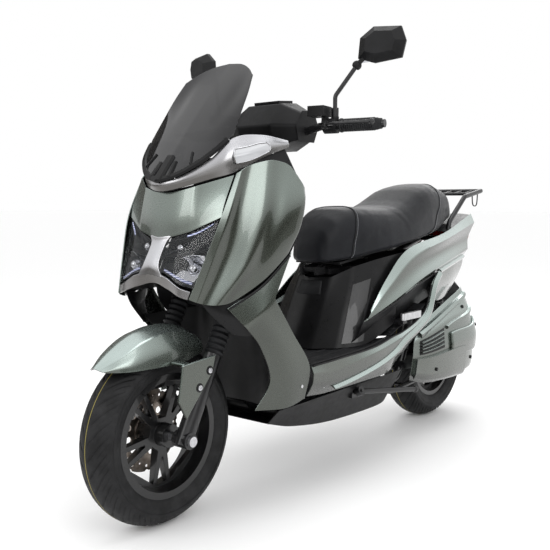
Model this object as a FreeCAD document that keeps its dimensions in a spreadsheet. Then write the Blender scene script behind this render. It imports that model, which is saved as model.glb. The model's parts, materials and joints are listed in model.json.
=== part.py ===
import FreeCAD, Part
import math
import os
import Sketcher
from FreeCAD import Placement, Rotation, Vector

# Electric moped scooter, millimetres. +X forward, +Y left, +Z up, origin on the ground in the middle.
doc = FreeCAD.newDocument("moped_scooter")
sizes = doc.addObject("Spreadsheet::Sheet", "sizes")

driving = [
    ("wheelbase", 1385, "axle to axle"),
    ("front_axle_x", 710, "front axle ahead of the origin"),
    ("front_tyre_r", 232, "front tyre outer radius, 110/70-12"),
    ("front_tyre_w", 108, "front tyre width"),
    ("rear_tyre_r", 236, "rear tyre outer radius, 120/70-12"),
    ("rear_tyre_w", 118, "rear tyre width"),
    ("bead_r", 152, "bead seat radius of a 12 inch rim"),
    ("rim_half_w", 42, "half of the rim's width over its flanges"),
    ("flange_h", 11, "flange height over the bead seat"),
    ("rim_barrel_r", 136, "inside radius of the rim barrel"),
    ("tyre_wall", 9, "tyre carcass thickness"),
    ("axle_r", 7.5, "wheel axle radius"),
    ("run_gap", 0.05, "radial running clearance of shafts"),
    ("rake", 28, "fork angle from the vertical, degrees"),
    ("fork_offset", 36, "fork legs ahead of the steering axis"),
    ("fork_leg_y", 92, "fork leg from the middle plane"),
    ("slider_r", 23, "lower fork leg outer radius"),
    ("slider_top", 225, "top of the lower legs along the fork"),
    ("stanchion_r", 16.5, "upper fork tube radius"),
    ("stanchion_low", 100, "bottom of the upper tubes along the fork"),
    ("fork_travel", 75, "fork stroke"),
    ("yoke_low", 362, "underside of the yoke along the fork"),
    ("yoke_high", 392, "top of the yoke along the fork"),
    ("stem_r", 17, "steering stem radius"),
    ("head_low", 400, "bottom of the head tube along the fork"),
    ("head_high", 560, "top of the head tube along the fork"),
    ("head_r", 27, "head tube outer radius"),
    ("bar_s", 900, "handlebar height along the fork"),
    ("bar_r", 11, "handlebar tube radius"),
    ("grip_r", 17, "grip radius"),
    ("grip_length", 128, "grip length"),
    ("hub_half", 45, "half of the front hub length"),
    ("hub_r", 30, "front hub radius"),
    ("disc_r", 110, "front brake disc radius"),
    ("rear_disc_r", 95, "rear brake disc radius"),
    ("disc_y", 50, "brake disc plane from the middle, to the right"),
    ("disc_t", 4, "brake disc thickness"),
    ("motor_r", 108, "hub motor drum radius"),
    ("motor_half", 46, "half of the hub motor width"),
    ("arm_y", 85, "swingarm beam centre from the middle"),
    ("arm_w", 20, "swingarm beam width"),
    ("pivot_x", 375, "swingarm pivot ahead of the rear axle"),
    ("pivot_z", 262, "swingarm pivot height"),
    ("pivot_r", 8, "swingarm pivot pin radius"),
    ("rail_y", 112, "frame rail from the middle"),
    ("rail_r", 14, "frame rail tube radius"),
    ("rail_z", 222, "frame rail height under the floor"),
    ("down_tube_r", 20, "down tube radius"),
    ("panel_t", 3, "body panel thickness"),
    ("screen_t", 4, "windscreen thickness"),
    ("battery_length", 480, "traction battery length"),
    ("battery_half", 94, "half of the battery width"),
    ("battery_height", 148, "battery height"),
    ("seat_hinge_r", 4, "seat hinge pin radius"),
    ("seat_base_t", 7, "seat base plate thickness"),
    ("rack_r", 9, "rack tube radius"),
    ("shock_y", 106, "shock absorber from the middle"),
    ("shock_eye_r", 12, "shock eye radius"),
    ("shock_pin_r", 5, "shock pin radius"),
    ("spring_r", 22, "shock spring outer radius"),
    ("stand_r", 9, "stand tube radius"),
    ("side_pin_r", 5, "side stand pivot pin radius"),
    ("peg_pin_r", 4, "passenger footrest pin radius"),
    ("lever_pin_r", 3, "brake lever pin radius"),
    ("button_r", 5, "push button radius"),
    ("peg_length", 105, "passenger footrest length"),
    ("mirror_half_w", 66, "half of the mirror head width"),
    ("mirror_depth", 30, "mirror head depth"),
    ("ball_r", 9, "mirror ball radius"),
    ("screw_r", 4.5, "body screw head radius"),
]
for line, (alias, value, note) in enumerate(driving, start=1):
    sizes.set("A%d" % line, note)
    sizes.set("B%d" % line, str(value))
    sizes.setAlias("B%d" % line, alias)
doc.recompute()


def size(alias):
    return float(sizes.get(alias))


parts = []  # every sub-part, in the order they are written


# ---- stations and frames --------------------------------------------------------------------

front_station = 710.0   # stations of the two axles in the body layout below
rear_station = -675.0
front_zone = 300.0      # stations ahead of this move with the front axle
rear_zone = -250.0      # stations behind this move with the rear axle
front_x = size("front_axle_x")
rear_x = front_x - size("wheelbase")


def along(station):
    """X of a body station: both ends keep their distance to their axle and the floor stretches."""
    if station >= front_zone:
        return front_x + station - front_station
    if station <= rear_zone:
        return rear_x + station - rear_station
    share = (station - rear_zone) / (front_zone - rear_zone)
    low = rear_x + rear_zone - rear_station
    high = front_x + front_zone - front_station
    return low + share * (high - low)


def at(station, y, z):
    return Vector(along(station), y, z)


rake = math.radians(size("rake"))
fork_up = Vector(-math.sin(rake), 0, math.cos(rake))
fork_front = Vector(math.cos(rake), 0, math.sin(rake))
front_axle = Vector(front_x, 0, size("front_tyre_r"))
rear_axle = Vector(rear_x, 0, size("rear_tyre_r"))
steer_foot = front_axle - fork_front * size("fork_offset")
pivot = Vector(rear_x + size("pivot_x"), 0, size("pivot_z"))


def legPoint(s, y=0.0):
    return front_axle + fork_up * s + Vector(0, y, 0)


def stemPoint(s):
    return steer_foot + fork_up * s


# ---- shape helpers --------------------------------------------------------------------------

def flip(shape):
    return shape.mirror(Vector(0, 0, 0), Vector(0, 1, 0))


def bothSides(*shapes):
    return Part.makeCompound(list(shapes) + [flip(shape) for shape in shapes])


def rod(start, end, radius):
    direction = end - start
    return Part.makeCylinder(radius, direction.Length, start, direction)


def crossRod(centre, reach, radius):
    """A rod across the machine, centred on a point."""
    return rod(centre - Vector(0, reach, 0), centre + Vector(0, reach, 0), radius)


def runningHole(alias):
    """Radius of the hole that a shaft of this size turns or slides in."""
    return size(alias) + size("run_gap")


def block(centre, before, ahead, inner, outer, below, above):
    """A box given by its reach from a centre along X and Z, and by its two Y limits."""
    low = Vector(centre.x - before, inner, centre.z - below)
    return box(low, Vector(centre.x + ahead, outer, centre.z + above))


def pipe(start, end, outer, inner):
    return rod(start, end, outer).cut(rod(start, end, inner))


def box(low, high):
    span = high - low
    return Part.makeBox(span.x, span.y, span.z, low)


def polygonFace(points):
    return Part.Face(Part.makePolygon(list(points) + [points[0]]))


def slab(outline, y_low, y_high):
    """A plate cut from an outline of (x, z) points between two Y planes."""
    face = polygonFace([Vector(x, y_low, z) for x, z in outline])
    return face.extrude(Vector(0, y_high - y_low, 0))


def roundedPath(points, radius):
    """Straight runs joined by tangent arcs."""
    edges = []
    last = points[0]
    for before, corner, after in zip(points, points[1:], points[2:]):
        back = (before - corner).normalize()
        ahead = (after - corner).normalize()
        half = back.getAngle(ahead) / 2
        reach = radius / math.tan(half)
        start = corner + back * reach
        end = corner + ahead * reach
        middle_way = (back + ahead).normalize()
        middle = corner + middle_way * (radius / math.sin(half) - radius)
        if (start - last).Length > 0.01:
            edges.append(Part.makeLine(last, start))
        edges.append(Part.Arc(start, middle, end).toShape())
        last = end
    edges.append(Part.makeLine(last, points[-1]))
    return Part.Wire(edges)


def bentTube(points, radius, bend):
    """A round bar bent along the points."""
    path = roundedPath(points, bend) if len(points) > 2 else Part.Wire(Part.makeLine(*points))
    way = (points[1] - points[0]).normalize()
    ring = Part.Wire(Part.makeCircle(radius, points[0], way))
    tube = path.makePipeShell([ring], True, False)
    expected = math.pi * radius ** 2 * path.Length
    if abs(tube.Volume - expected) > 0.02 * expected:
        raise ValueError("a bent tube has the wrong volume")
    return tube


def quad(a, b, c, d):
    """A face over four corners, flat or gently twisted."""
    return Part.makeRuledSurface(Part.makeLine(a, b), Part.makeLine(d, c))


def skin(rows, wall, inside):
    """A thin shell over a grid of outer points; its wall grows towards the point called inside."""
    count = len(rows[0])
    inner = []
    for r, row in enumerate(rows):
        inner_row = []
        for c, point in enumerate(row):
            up = rows[min(r + 1, len(rows) - 1)][c] - rows[max(r - 1, 0)][c]
            side = row[min(c + 1, count - 1)] - row[max(c - 1, 0)]
            normal = up.cross(side).normalize()
            if normal.dot(inside - point) < 0:
                normal = normal * -1
            inner_row.append(point + normal * wall)
        inner.append(inner_row)
    faces = []
    for grid in (rows, inner):
        for low, high in zip(grid, grid[1:]):
            for c in range(count - 1):
                faces.append(quad(low[c], low[c + 1], high[c + 1], high[c]))
    for line, back in ((rows[0], inner[0]), (rows[-1], inner[-1])):
        for c in range(count - 1):
            faces.append(quad(line[c], line[c + 1], back[c + 1], back[c]))
    for c in (0, count - 1):
        for r in range(len(rows) - 1):
            faces.append(quad(rows[r][c], rows[r + 1][c], inner[r + 1][c], inner[r][c]))
    shell = Part.Shell(faces)
    shell.sewShape()
    solid = Part.makeSolid(shell)
    if solid.Volume < 0:
        solid.reverse()
    return solid


def acrossMiddle(half_rows):
    """Rows that start on the middle plane, completed with their mirror images."""
    whole = []
    for row in half_rows:
        other = [Vector(p.x, -p.y, p.z) for p in reversed(row[1:])]
        whole.append(other + row)
    return whole


def stations(rows):
    return [[at(*point) for point in row] for row in rows]


def boxLoft(sections):
    """A closed loft through (station, half width low, half width high, z low, z high) sections."""
    wires = []
    for station, low, high, z_low, z_high in sections:
        x = along(station)
        corner = 0.3 * (z_high - z_low)
        ring = [(low, z_low), (low * 1.04, z_low + corner)]
        ring += [(high * 1.04, z_high - corner), (high * 0.7, z_high)]
        ring += [(-y, z) for y, z in reversed(ring)]
        points = [Vector(x, y, z) for y, z in ring]
        wires.append(Part.makePolygon(points + [points[0]]))
    return Part.makeLoft(wires, True, True)


# ---- document helpers -----------------------------------------------------------------------

def keep(item, label):
    item.Label = label
    parts.append(item)
    return item


def feature(label, shape):
    item = doc.addObject("Part::Feature", label)
    item.Shape = shape
    return keep(item, label)


def value(expression):
    result = sizes.evalExpression(expression.replace("sizes.", ""))
    return float(getattr(result, "Value", result))


def planeOf(body, role):
    return [item for item in body.Origin.OriginFeatures if item.Role == role][0]


def outlineSketch(body, name, role, points):
    """A closed outline on one of the body's own planes, each corner bound to the sheet."""
    sketch = body.newObject("Sketcher::SketchObject", name)
    sketch.AttachmentSupport = [(planeOf(body, role), "")]
    sketch.MapMode = "FlatFace"
    corners = [Vector(value(x), value(y), 0) for x, y in points]
    count = len(corners)
    lines = [Part.LineSegment(corners[i], corners[(i + 1) % count]) for i in range(count)]
    sketch.addGeometry(lines, False)
    for i in range(count):
        sketch.addConstraint(Sketcher.Constraint("Coincident", i, 2, (i + 1) % count, 1))
    for i, (x, y) in enumerate(points):
        across = sketch.addConstraint(Sketcher.Constraint("DistanceX", -1, 1, i, 1, corners[i].x))
        sketch.setExpression("Constraints[%d]" % across, x)
        upward = sketch.addConstraint(Sketcher.Constraint("DistanceY", -1, 1, i, 1, corners[i].y))
        sketch.setExpression("Constraints[%d]" % upward, y)
    return sketch


def turned(label, points, place):
    """A body of revolution about Y: outline of (radius, y) pairs."""
    body = doc.addObject("PartDesign::Body", label)
    sketch = outlineSketch(body, label + "_outline", "XY_Plane", points)
    turn = body.newObject("PartDesign::Revolution", label + "_turn")
    turn.Profile = sketch
    turn.ReferenceAxis = (sketch, ["V_Axis"])
    turn.Angle = 360
    body.Placement = Placement(place, Rotation())
    doc.recompute()
    return keep(body, label)


def pierce(body, name, points, count):
    """Windows cut right through along Y and repeated around the axis."""
    sketch = outlineSketch(body, name + "_outline", "XZ_Plane", points)
    pocket = body.newObject("PartDesign::Pocket", name)
    pocket.Profile = sketch
    pocket.Midplane = True
    pocket.Type = "ThroughAll"
    doc.recompute()
    pattern = body.newObject("PartDesign::PolarPattern", name + "_ring")
    pattern.Originals = [pocket]
    pattern.Axis = (planeOf(body, "Y_Axis"), [""])
    pattern.Angle = 360
    pattern.Occurrences = count
    body.Tip = pattern
    doc.recompute()


def mirrored(rows):
    return rows + [(r, "-(%s)" % y) for r, y in reversed(rows)]


# ---- wheels ---------------------------------------------------------------------------------

def tyreOutline(radius, width):
    outer = [
        ("sizes.bead_r", "sizes.rim_half_w - 5"),
        ("sizes.bead_r + sizes.flange_h + 1", "sizes.rim_half_w - 5"),
        ("sizes.bead_r + sizes.flange_h + 1", "%s / 2 - 6" % width),
        ("%s - 40" % radius, "%s / 2" % width),
        ("%s - 26" % radius, "%s / 2 - 2" % width),
        ("%s - 13" % radius, "%s * 0.4" % width),
        ("%s - 4" % radius, "%s * 0.22" % width),
        (radius, "%s * 0.06" % width),
    ]
    inner = [
        ("sizes.bead_r", "-(sizes.rim_half_w - 5 - sizes.tyre_wall)"),
        ("sizes.bead_r + sizes.flange_h", "-(sizes.rim_half_w - 5 - sizes.tyre_wall)"),
        ("%s - 42" % radius, "-(%s / 2 - sizes.tyre_wall)" % width),
        ("%s - sizes.tyre_wall - 16" % radius, "-(%s * 0.36)" % width),
        ("%s - sizes.tyre_wall - 5" % radius, "-(%s * 0.22)" % width),
        ("%s - sizes.tyre_wall" % radius, "-(%s * 0.06)" % width),
    ]
    return mirrored(outer), mirrored(inner)


def tyre(label, radius, width, place):
    outer, inner = tyreOutline(radius, width)
    return turned(label, outer + inner, place)


def rimOutline(bore, hub_r, hub_half, web_hub, web_rim):
    half = [
        (bore, hub_half),
        (hub_r, hub_half),
        (hub_r, web_hub),
        ("sizes.rim_barrel_r", web_rim),
        ("sizes.rim_barrel_r + 6", "sizes.rim_half_w"),
        ("sizes.bead_r + sizes.flange_h", "sizes.rim_half_w"),
        ("sizes.bead_r + sizes.flange_h", "sizes.rim_half_w - 5"),
        ("sizes.bead_r", "sizes.rim_half_w - 5"),
        ("sizes.bead_r", "sizes.rim_half_w - 16"),
        ("sizes.rim_barrel_r + 8", "sizes.rim_half_w - 22"),
    ]
    return mirrored(half)


def windowOutline(inner_r, outer_r, inner_half, outer_half, turn):
    """Corners of a window between two spokes: radii and half angles in degrees about a middle angle."""
    corners = []
    spots = [(inner_r, -inner_half), (outer_r, -outer_half), (outer_r, outer_half), (inner_r, inner_half)]
    for radius, angle in spots:
        across = "(%s) * cos(%g deg)" % (radius, turn + angle)
        corners.append((across, "(%s) * sin(%g deg)" % (radius, turn + angle)))
    return corners


def spokes(rim, hub_r, pairs):
    """Twin spokes: a wide window between two pairs and a slim one inside each pair."""
    turn = 360.0 / pairs
    wide = windowOutline(hub_r + " + 14", "sizes.rim_barrel_r - 7", 16, 23, 90)
    slim = windowOutline(hub_r + " + 30", "sizes.rim_barrel_r - 7", 2.5, 7.5, 90 + turn / 2)
    pierce(rim, rim.Label + "_wide_window", wide, pairs)
    pierce(rim, rim.Label + "_slim_window", slim, pairs)


def brakeDisc(label, radius, hub_r, place):
    """A wavy drilled disc on the right side of its hub."""
    low = -size("disc_y") - size("disc_t") / 2
    middle = Vector(0, low, 0)
    along_y = Vector(0, 1, 0)
    disc = Part.makeCylinder(radius, size("disc_t"), middle, along_y)
    disc = disc.cut(Part.makeCylinder(hub_r + size("run_gap"), size("disc_t"), middle, along_y))
    notches = 12
    for i in range(notches):
        turn = 2 * math.pi * i / notches
        spot = Vector(math.cos(turn), 0, math.sin(turn))
        disc = disc.cut(Part.makeCylinder(8, size("disc_t"), middle + spot * (radius + 4), along_y))
        disc = disc.cut(Part.makeCylinder(4, size("disc_t"), middle + spot * (radius - 14), along_y))
        half_turn = Rotation(along_y, 180.0 / notches).multVec(spot)
        disc = disc.cut(Part.makeCylinder(3, size("disc_t"), middle + half_turn * (radius - 22), along_y))
        disc = disc.cut(Part.makeCylinder(9, size("disc_t"), middle + half_turn * (radius * 0.56), along_y))
    disc.translate(place)
    return feature(label, disc)


def washer(axle, y_low, y_high, outer_r, inner_r):
    """A flat ring round a wheel's axle."""
    return pipe(axle + Vector(0, y_low, 0), axle + Vector(0, y_high, 0), outer_r, inner_r)


def makeFrontWheel():
    outline = rimOutline("sizes.axle_r + sizes.run_gap", "sizes.hub_r", "sizes.hub_half", "14", "8")
    rim = turned("front_rim", outline, front_axle)
    spokes(rim, "sizes.hub_r", 5)
    tyre("front_tyre", "sizes.front_tyre_r", "sizes.front_tyre_w", front_axle)
    flange = size("hub_half")
    disc = brakeDisc("front_disc", size("disc_r"), size("hub_r") + 6, front_axle)
    low = -size("disc_y") - size("disc_t") / 2
    # the disc's carrier ring reaches in to the end of the hub
    carrier = washer(front_axle, -flange - 6, -flange, size("hub_r") + 8, size("axle_r") + 8)
    web = washer(front_axle, low, low + size("disc_t"), size("hub_r") + 8, size("axle_r") + 8)
    disc.Shape = disc.Shape.fuse([carrier, web]).removeSplitter()


def makeRearWheel():
    outline = rimOutline("sizes.pivot_r + sizes.run_gap", "sizes.motor_r", "sizes.motor_half", "15", "10")
    hub = turned("hub_motor", outline, rear_axle)
    windows = windowOutline("sizes.motor_r + 6", "sizes.rim_barrel_r - 5", 12, 13, 90)
    pierce(hub, "hub_motor_window", windows, 10)
    tyre("rear_tyre", "sizes.rear_tyre_r", "sizes.rear_tyre_w", rear_axle)
    low = -size("disc_y") - size("disc_t") / 2
    disc = brakeDisc("rear_disc", size("rear_disc_r"), size("pivot_r") + 12, rear_axle)
    step = washer(rear_axle, low, low + size("disc_y") - size("motor_half"), 42, size("pivot_r") + 10)
    disc.Shape = disc.Shape.fuse(step).removeSplitter()


# ---- fork and steering ----------------------------------------------------------------------

def caliperShape(axle, radius, angle, inner_y, outer_y):
    """A brake caliper round the disc's rim: a block with a slot for the disc."""
    block = box(Vector(radius - 34, -outer_y, -30), Vector(radius + 12, -inner_y, 30))
    slot = box(Vector(radius - 40, -size("disc_y") - 4, -40), Vector(radius + 4, -size("disc_y") + 4, 40))
    block = block.cut(slot)
    pistons = []
    for side in (-14, 14):
        pistons.append(rod(Vector(radius - 14, -outer_y, side), Vector(radius - 14, -outer_y - 6, side), 11))
    caliper = block.fuse(pistons)
    caliper.Placement = Placement(axle, Rotation(Vector(0, 1, 0), -angle))
    return caliper


def makeForkLower():
    y = size("fork_leg_y")
    side = Vector(0, y, 0)
    slider = rod(legPoint(-16, y), legPoint(size("slider_top"), y), size("slider_r"))
    lug = rod(front_axle + side - Vector(0, 24, 0), front_axle + side + Vector(0, 24, 0), 21)
    slider = slider.fuse(lug)
    bore_low = size("stanchion_low") - size("fork_travel") - 8
    slider = slider.cut(rod(legPoint(bore_low, y), legPoint(size("slider_top"), y), runningHole("stanchion_r")))
    slider = slider.cut(rod(front_axle, front_axle + side * 2, size("axle_r")))
    feature("fork_legs", bothSides(slider))

    reach = y + 24
    shaft = rod(front_axle - Vector(0, reach + 4, 0), front_axle + Vector(0, reach + 4, 0), size("axle_r"))
    spacer_y = size("hub_half") + 0.5
    for sign in (1, -1):
        start = spacer_y if sign > 0 else size("disc_y") + size("disc_t") / 2 + 0.5
        out = Vector(0, sign, 0)
        shaft = shaft.fuse(rod(front_axle + out * start, front_axle + out * (y - 24), 12))
        nut = rod(front_axle + out * reach, front_axle + out * (reach + 9), 13)
        shaft = shaft.fuse(nut)
    feature("front_axle", shaft.removeSplitter())

    caliper = caliperShape(front_axle, size("disc_r"), 150, 34, 66)
    feature("front_caliper", caliper)
    makeFender()
    makeFenderBrackets()


def makeFender():
    """Front mudguard: three lines along each side, from the tip over the tyre to the fork."""
    crown = [(202, 200), (150, 236), (90, 266), (25, 281), (-50, 276), (-108, 250)]
    shoulder = [(198, 14, 196), (146, 38, 223), (87, 46, 252), (23, 50, 266), (-50, 50, 260), (-106, 46, 236)]
    edge = [(190, 26, 190), (140, 56, 188), (80, 68, 188), (18, 72, 188), (-43, 67, 191), (-98, 62, 205)]
    rows = []
    for (cx, cz), (sx, sy, sz), (ex, ey, ez) in zip(crown, shoulder, edge):
        half = [Vector(cx, 0, cz), Vector(sx, sy, sz), Vector(ex, ey, ez)]
        rows.append([front_axle + point for point in half])
    feature("front_fender", skin(acrossMiddle(rows), size("panel_t"), front_axle))


def makeFenderBrackets():
    y = size("fork_leg_y") + size("slider_r")
    outline = [(-82, 206), (32, 196), (48, 106), (22, 60), (-70, 163)]
    plate = slab([(front_axle.x + x, front_axle.z + z) for x, z in outline], y, y + 8)
    strut_low = front_axle + Vector(0, 72.2, 188)
    strut = box(strut_low, Vector(front_axle.x + 24, y, strut_low.z + 9))
    plate = plate.fuse(strut)
    bolts = []
    for x, z in ((-58, 170), (-22, 132)):
        centre = front_axle + Vector(x, 0, z)
        bolts.append(rod(centre + Vector(0, y + 8, 0), centre + Vector(0, y + 12, 0), 7))
    feature("fender_brackets", bothSides(plate.fuse(bolts).removeSplitter()))


def makeSteering():
    y = size("fork_leg_y")
    low, high = size("yoke_low"), size("yoke_high")
    bar = stemPoint(size("bar_s"))
    stem = rod(stemPoint(low), stemPoint(size("bar_s")), size("stem_r"))
    boss = rod(stemPoint(low), stemPoint(high), 27)
    shoulders = rod(legPoint(low, y), legPoint(high, y), 26)
    waist = stemPoint(low) - fork_front * 24
    bridge_wire = [legPoint(low, y) + fork_front * 20, legPoint(low, y) - fork_front * 20,
                   waist + Vector(0, 20, 0), waist - Vector(0, 20, 0),
                   legPoint(low, -y) - fork_front * 20, legPoint(low, -y) + fork_front * 20]
    bridge = polygonFace(bridge_wire).extrude(fork_up * (high - low))
    clamp = rod(bar - Vector(0, 26, 0), bar + Vector(0, 26, 0), 19)
    stem = stem.fuse([boss, shoulders, flip(shoulders), bridge, clamp])
    for sign in (1, -1):
        stem = stem.cut(rod(legPoint(low - 5, sign * y), legPoint(high + 5, sign * y), size("stanchion_r")))
    stem = stem.cut(rod(bar - Vector(0, 60, 0), bar + Vector(0, 60, 0), size("bar_r")))
    feature("steering_stem", stem.removeSplitter())

    outer_r = size("stanchion_r")
    tube = pipe(legPoint(size("stanchion_low"), y), legPoint(high + 2, y), outer_r, outer_r - 3)
    feature("fork_stanchions", bothSides(tube))

    bellows_low = size("slider_top") + 0.5
    bellows_high = low - 1
    folds = 9
    step = (bellows_high - bellows_low) / (2 * folds)
    outline = [Vector(size("stanchion_r") + 0.5, 0, bellows_low)]
    for i in range(2 * folds + 1):
        radius = 26 if i % 2 else 21
        outline.append(Vector(radius, 0, bellows_low + i * step))
    outline.append(Vector(size("stanchion_r") + 0.5, 0, bellows_high))
    boot = polygonFace(outline).revolve(Vector(0, 0, 0), Vector(0, 0, 1), 360)
    boot.Placement = Placement(legPoint(0, y), Rotation(Vector(0, 1, 0), -size("rake")))
    feature("fork_bellows", bothSides(boot))
    makeBar(bar)


bar_sweep = math.radians(10.2)    # the grips point this far back
bar_out = Vector(-math.sin(bar_sweep), math.cos(bar_sweep), 0)
bar_ahead = Vector(math.cos(bar_sweep), math.sin(bar_sweep), 0)
bar_start = stemPoint(size("bar_s")) + Vector(0, 175, 19)   # where the straight end of the bar begins
housing_from, housing_to = 14.0, 52.0                        # switch housing along the bar end
grip_from = 56.0
grip_to = grip_from + size("grip_length")
lever_pivot = bar_start + bar_out * 34 + bar_ahead * 40
mirror_foot = bar_start + bar_out * 44 + Vector(0, 0, 24)


def barPoint(t):
    return bar_start + bar_out * t


def makeBar(bar):
    half = [bar + Vector(0, 95, 0), bar_start, barPoint(grip_to + 6)]
    other = [Vector(p.x, -p.y, p.z) for p in reversed(half)]
    feature("handlebar", bentTube(other + half, size("bar_r"), 45))

    grip = rod(barPoint(grip_from), barPoint(grip_to), size("grip_r"))
    grip = grip.fuse(rod(barPoint(grip_from), barPoint(grip_from + 5), size("grip_r") + 3))
    tip = rod(barPoint(grip_to + 6.5), barPoint(grip_to + 14), size("grip_r") - 2)
    grip = grip.fuse(rod(barPoint(grip_to), barPoint(grip_to + 6.5), size("grip_r"))).fuse(tip)
    fixed_bore = rod(barPoint(grip_from - 1), barPoint(grip_to + 6), size("bar_r"))
    feature("left_grip", grip.cut(fixed_bore).removeSplitter())
    running_bore = rod(barPoint(grip_from - 1), barPoint(grip_to + 6.3), runningHole("bar_r"))
    feature("throttle_grip", flip(grip.cut(running_bore)).removeSplitter())

    housing = rod(barPoint(housing_from), barPoint(housing_to), 21)
    reservoir = box(Vector(-8, -36, 24), Vector(46, 12, 52))
    reservoir.Placement = Placement(barPoint(18), Rotation(Vector(0, 0, 1), math.degrees(bar_sweep)))
    neck = box(Vector(10, -8, 0), Vector(28, 6, 26))
    neck.Placement = Placement(barPoint(24), Rotation(Vector(0, 0, 1), math.degrees(bar_sweep)))
    perch = rod(barPoint(44), mirror_foot, 11)
    ears = []
    for z_low, z_high in ((5.5, 10), (-10, -5.5)):
        ear = box(Vector(10, -9, z_low), Vector(48, 9, z_high))
        ear.Placement = Placement(barPoint(34), Rotation(Vector(0, 0, 1), math.degrees(bar_sweep)))
        ears.append(ear)
    pin = rod(lever_pivot - Vector(0, 0, 12), lever_pivot + Vector(0, 0, 12), size("lever_pin_r"))
    housing = housing.fuse([reservoir, neck, perch, pin] + ears)
    housing = housing.cut(rod(barPoint(-30), barPoint(90), size("bar_r")))
    right = flip(housing)
    # pockets for the two push buttons, facing the rider
    left_button, right_button = buttonPlace(1), buttonPlace(-1)
    housing = housing.cut(buttonHole(left_button))
    right = right.cut(buttonHole(right_button))
    feature("switch_housings", Part.makeCompound([housing.removeSplitter(), right.removeSplitter()]))

    for label, sign in (("brake_lever_left", 1), ("brake_lever_right", -1)):
        lever = leverShape()
        feature(label, lever if sign > 0 else flip(lever))
    for label, sign in (("horn_button", 1), ("start_button", -1)):
        face, inward = buttonPlace(sign)
        feature(label, rod(face - inward * 3, face + inward * 3, size("button_r")))
    makeBarCover(bar)
    for label, sign in (("left", 1), ("right", -1)):
        makeMirror(label, sign)


def buttonPlace(sign):
    """The rest place of a push button's face and the way it is pressed."""
    spot = barPoint(33)
    out = bar_ahead * -21
    face = spot + out
    return Vector(face.x, sign * face.y, face.z), Vector(bar_ahead.x, sign * bar_ahead.y, 0)


def buttonHole(button):
    face, way = button
    return rod(face - way * 7, face + way * 12, runningHole("button_r"))


def leverShape():
    knee = lever_pivot + bar_out * 30 + bar_ahead * 22
    route = [lever_pivot, knee, barPoint(grip_to - 6) + bar_ahead * 66]
    blade = bentTube(route, 5, 30)
    eye = rod(lever_pivot - Vector(0, 0, 5), lever_pivot + Vector(0, 0, 5), 8.5)
    ball = Part.makeSphere(8, route[-1])
    lever = blade.fuse([eye, ball])
    hole = rod(lever_pivot - Vector(0, 0, 9), lever_pivot + Vector(0, 0, 9), runningHole("lever_pin_r"))
    return lever.cut(hole).removeSplitter()


def makeBarCover(bar):
    """Hollow cover over the middle of the handlebar, open round the stem and the bar."""
    middle = [(70, -34), (86, 24), (34, 88), (-44, 95), (-68, 24), (-46, -44)]
    end = [(34, -16), (44, 22), (20, 58), (-30, 60), (-48, 22), (-30, -16)]
    reach = 128

    def ring(points, y, inset):
        centre_x = sum(x for x, z in points) / len(points)
        centre_z = sum(z for x, z in points) / len(points)
        shrunk = []
        for x, z in points:
            length = math.hypot(x - centre_x, z - centre_z)
            share = (length - inset) / length
            new_x = centre_x + (x - centre_x) * share
            shrunk.append(bar + Vector(new_x, y, centre_z + (z - centre_z) * share))
        return Part.makePolygon(shrunk + [shrunk[0]])

    def loft(inset, trim):
        spots = [(end, -reach + trim), (middle, -60), (middle, 60), (end, reach - trim)]
        return Part.makeLoft([ring(points, y, inset) for points, y in spots], True, True)

    cover = loft(0, 0).cut(loft(3.5, 3.5))
    cover = cover.cut(rod(stemPoint(size("bar_s") - 120), stemPoint(size("bar_s")), size("stem_r") + 8))
    half = [bar, bar + Vector(0, 95, 0), bar_start]
    for sign in (1, -1):
        path = [Vector(p.x, sign * p.y, p.z) for p in half]
        cover = cover.cut(bentTube(path, size("bar_r") + 3, 45))
    feature("handlebar_cover", cover)

    slope = math.degrees(math.atan2(95 - 88, 34 + 44))
    display = box(Vector(0, -46, 0), Vector(64, 46, 8))
    display.Placement = Placement(bar + Vector(-40, 0, 95.2), Rotation(Vector(0, 1, 0), slope))
    feature("display", display)


def makeMirror(side, sign):
    """Mirror stem with a ball on top and a head whose socket sits on the ball."""
    foot = mirror_foot
    ball = foot + Vector(-36, 46, 138)
    bend = foot + Vector(0, 0, 56)
    stem = bentTube([foot, bend, ball], 6, 22)
    sleeve = rod(foot, foot + Vector(0, 0, 24), 10)
    stem = stem.fuse([sleeve, Part.makeSphere(size("ball_r"), ball)]).removeSplitter()
    feature("mirror_stem_" + side, stem if sign > 0 else flip(stem))

    across = Vector(-0.28, 0.96, 0).normalize()
    forward = Vector(across.y, -across.x, 0)
    half = size("mirror_half_w")
    outline = [(-half, -36), (-half * 0.92, 18), (-half * 0.35, 46), (half * 0.8, 42), (half, 4),
               (half * 0.84, -40), (-half * 0.3, -50)]
    centre = ball + across * (half + 4) + Vector(0, 0, 53)

    def ring(scale, depth):
        points = [centre + across * (x * scale) + Vector(0, 0, z * scale) + forward * depth for x, z in outline]
        return Part.makePolygon(points + [points[0]])

    depth = size("mirror_depth")
    head = Part.makeLoft([ring(1.0, -6), ring(1.0, 4), ring(0.62, depth)], True, True)
    cavity = Part.makeLoft([ring(0.95, -6), ring(0.95, 1), ring(0.56, depth - 4)], True, True)
    head = head.cut(cavity)
    socket = Part.makeSphere(size("ball_r") + 4, ball)
    arm = rod(ball, centre + across * (-half * 0.72) + Vector(0, 0, -32) + forward * 3, 6.5)
    socket = socket.fuse(arm)
    socket = socket.cut(Part.makeSphere(size("ball_r") + size("run_gap"), ball))
    way = (bend - ball).normalize()
    socket = socket.cut(Part.makeCone(5, 30, 30, ball + way * 2, way))
    head = head.fuse(socket)
    glass_ring = [ring(0.945, -4.5), ring(0.945, -1.5)]
    plate = Part.makeLoft(glass_ring, True, True)
    head = head.fuse(plate).removeSplitter()
    feature("mirror_head_" + side, head if sign > 0 else flip(head))


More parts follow.
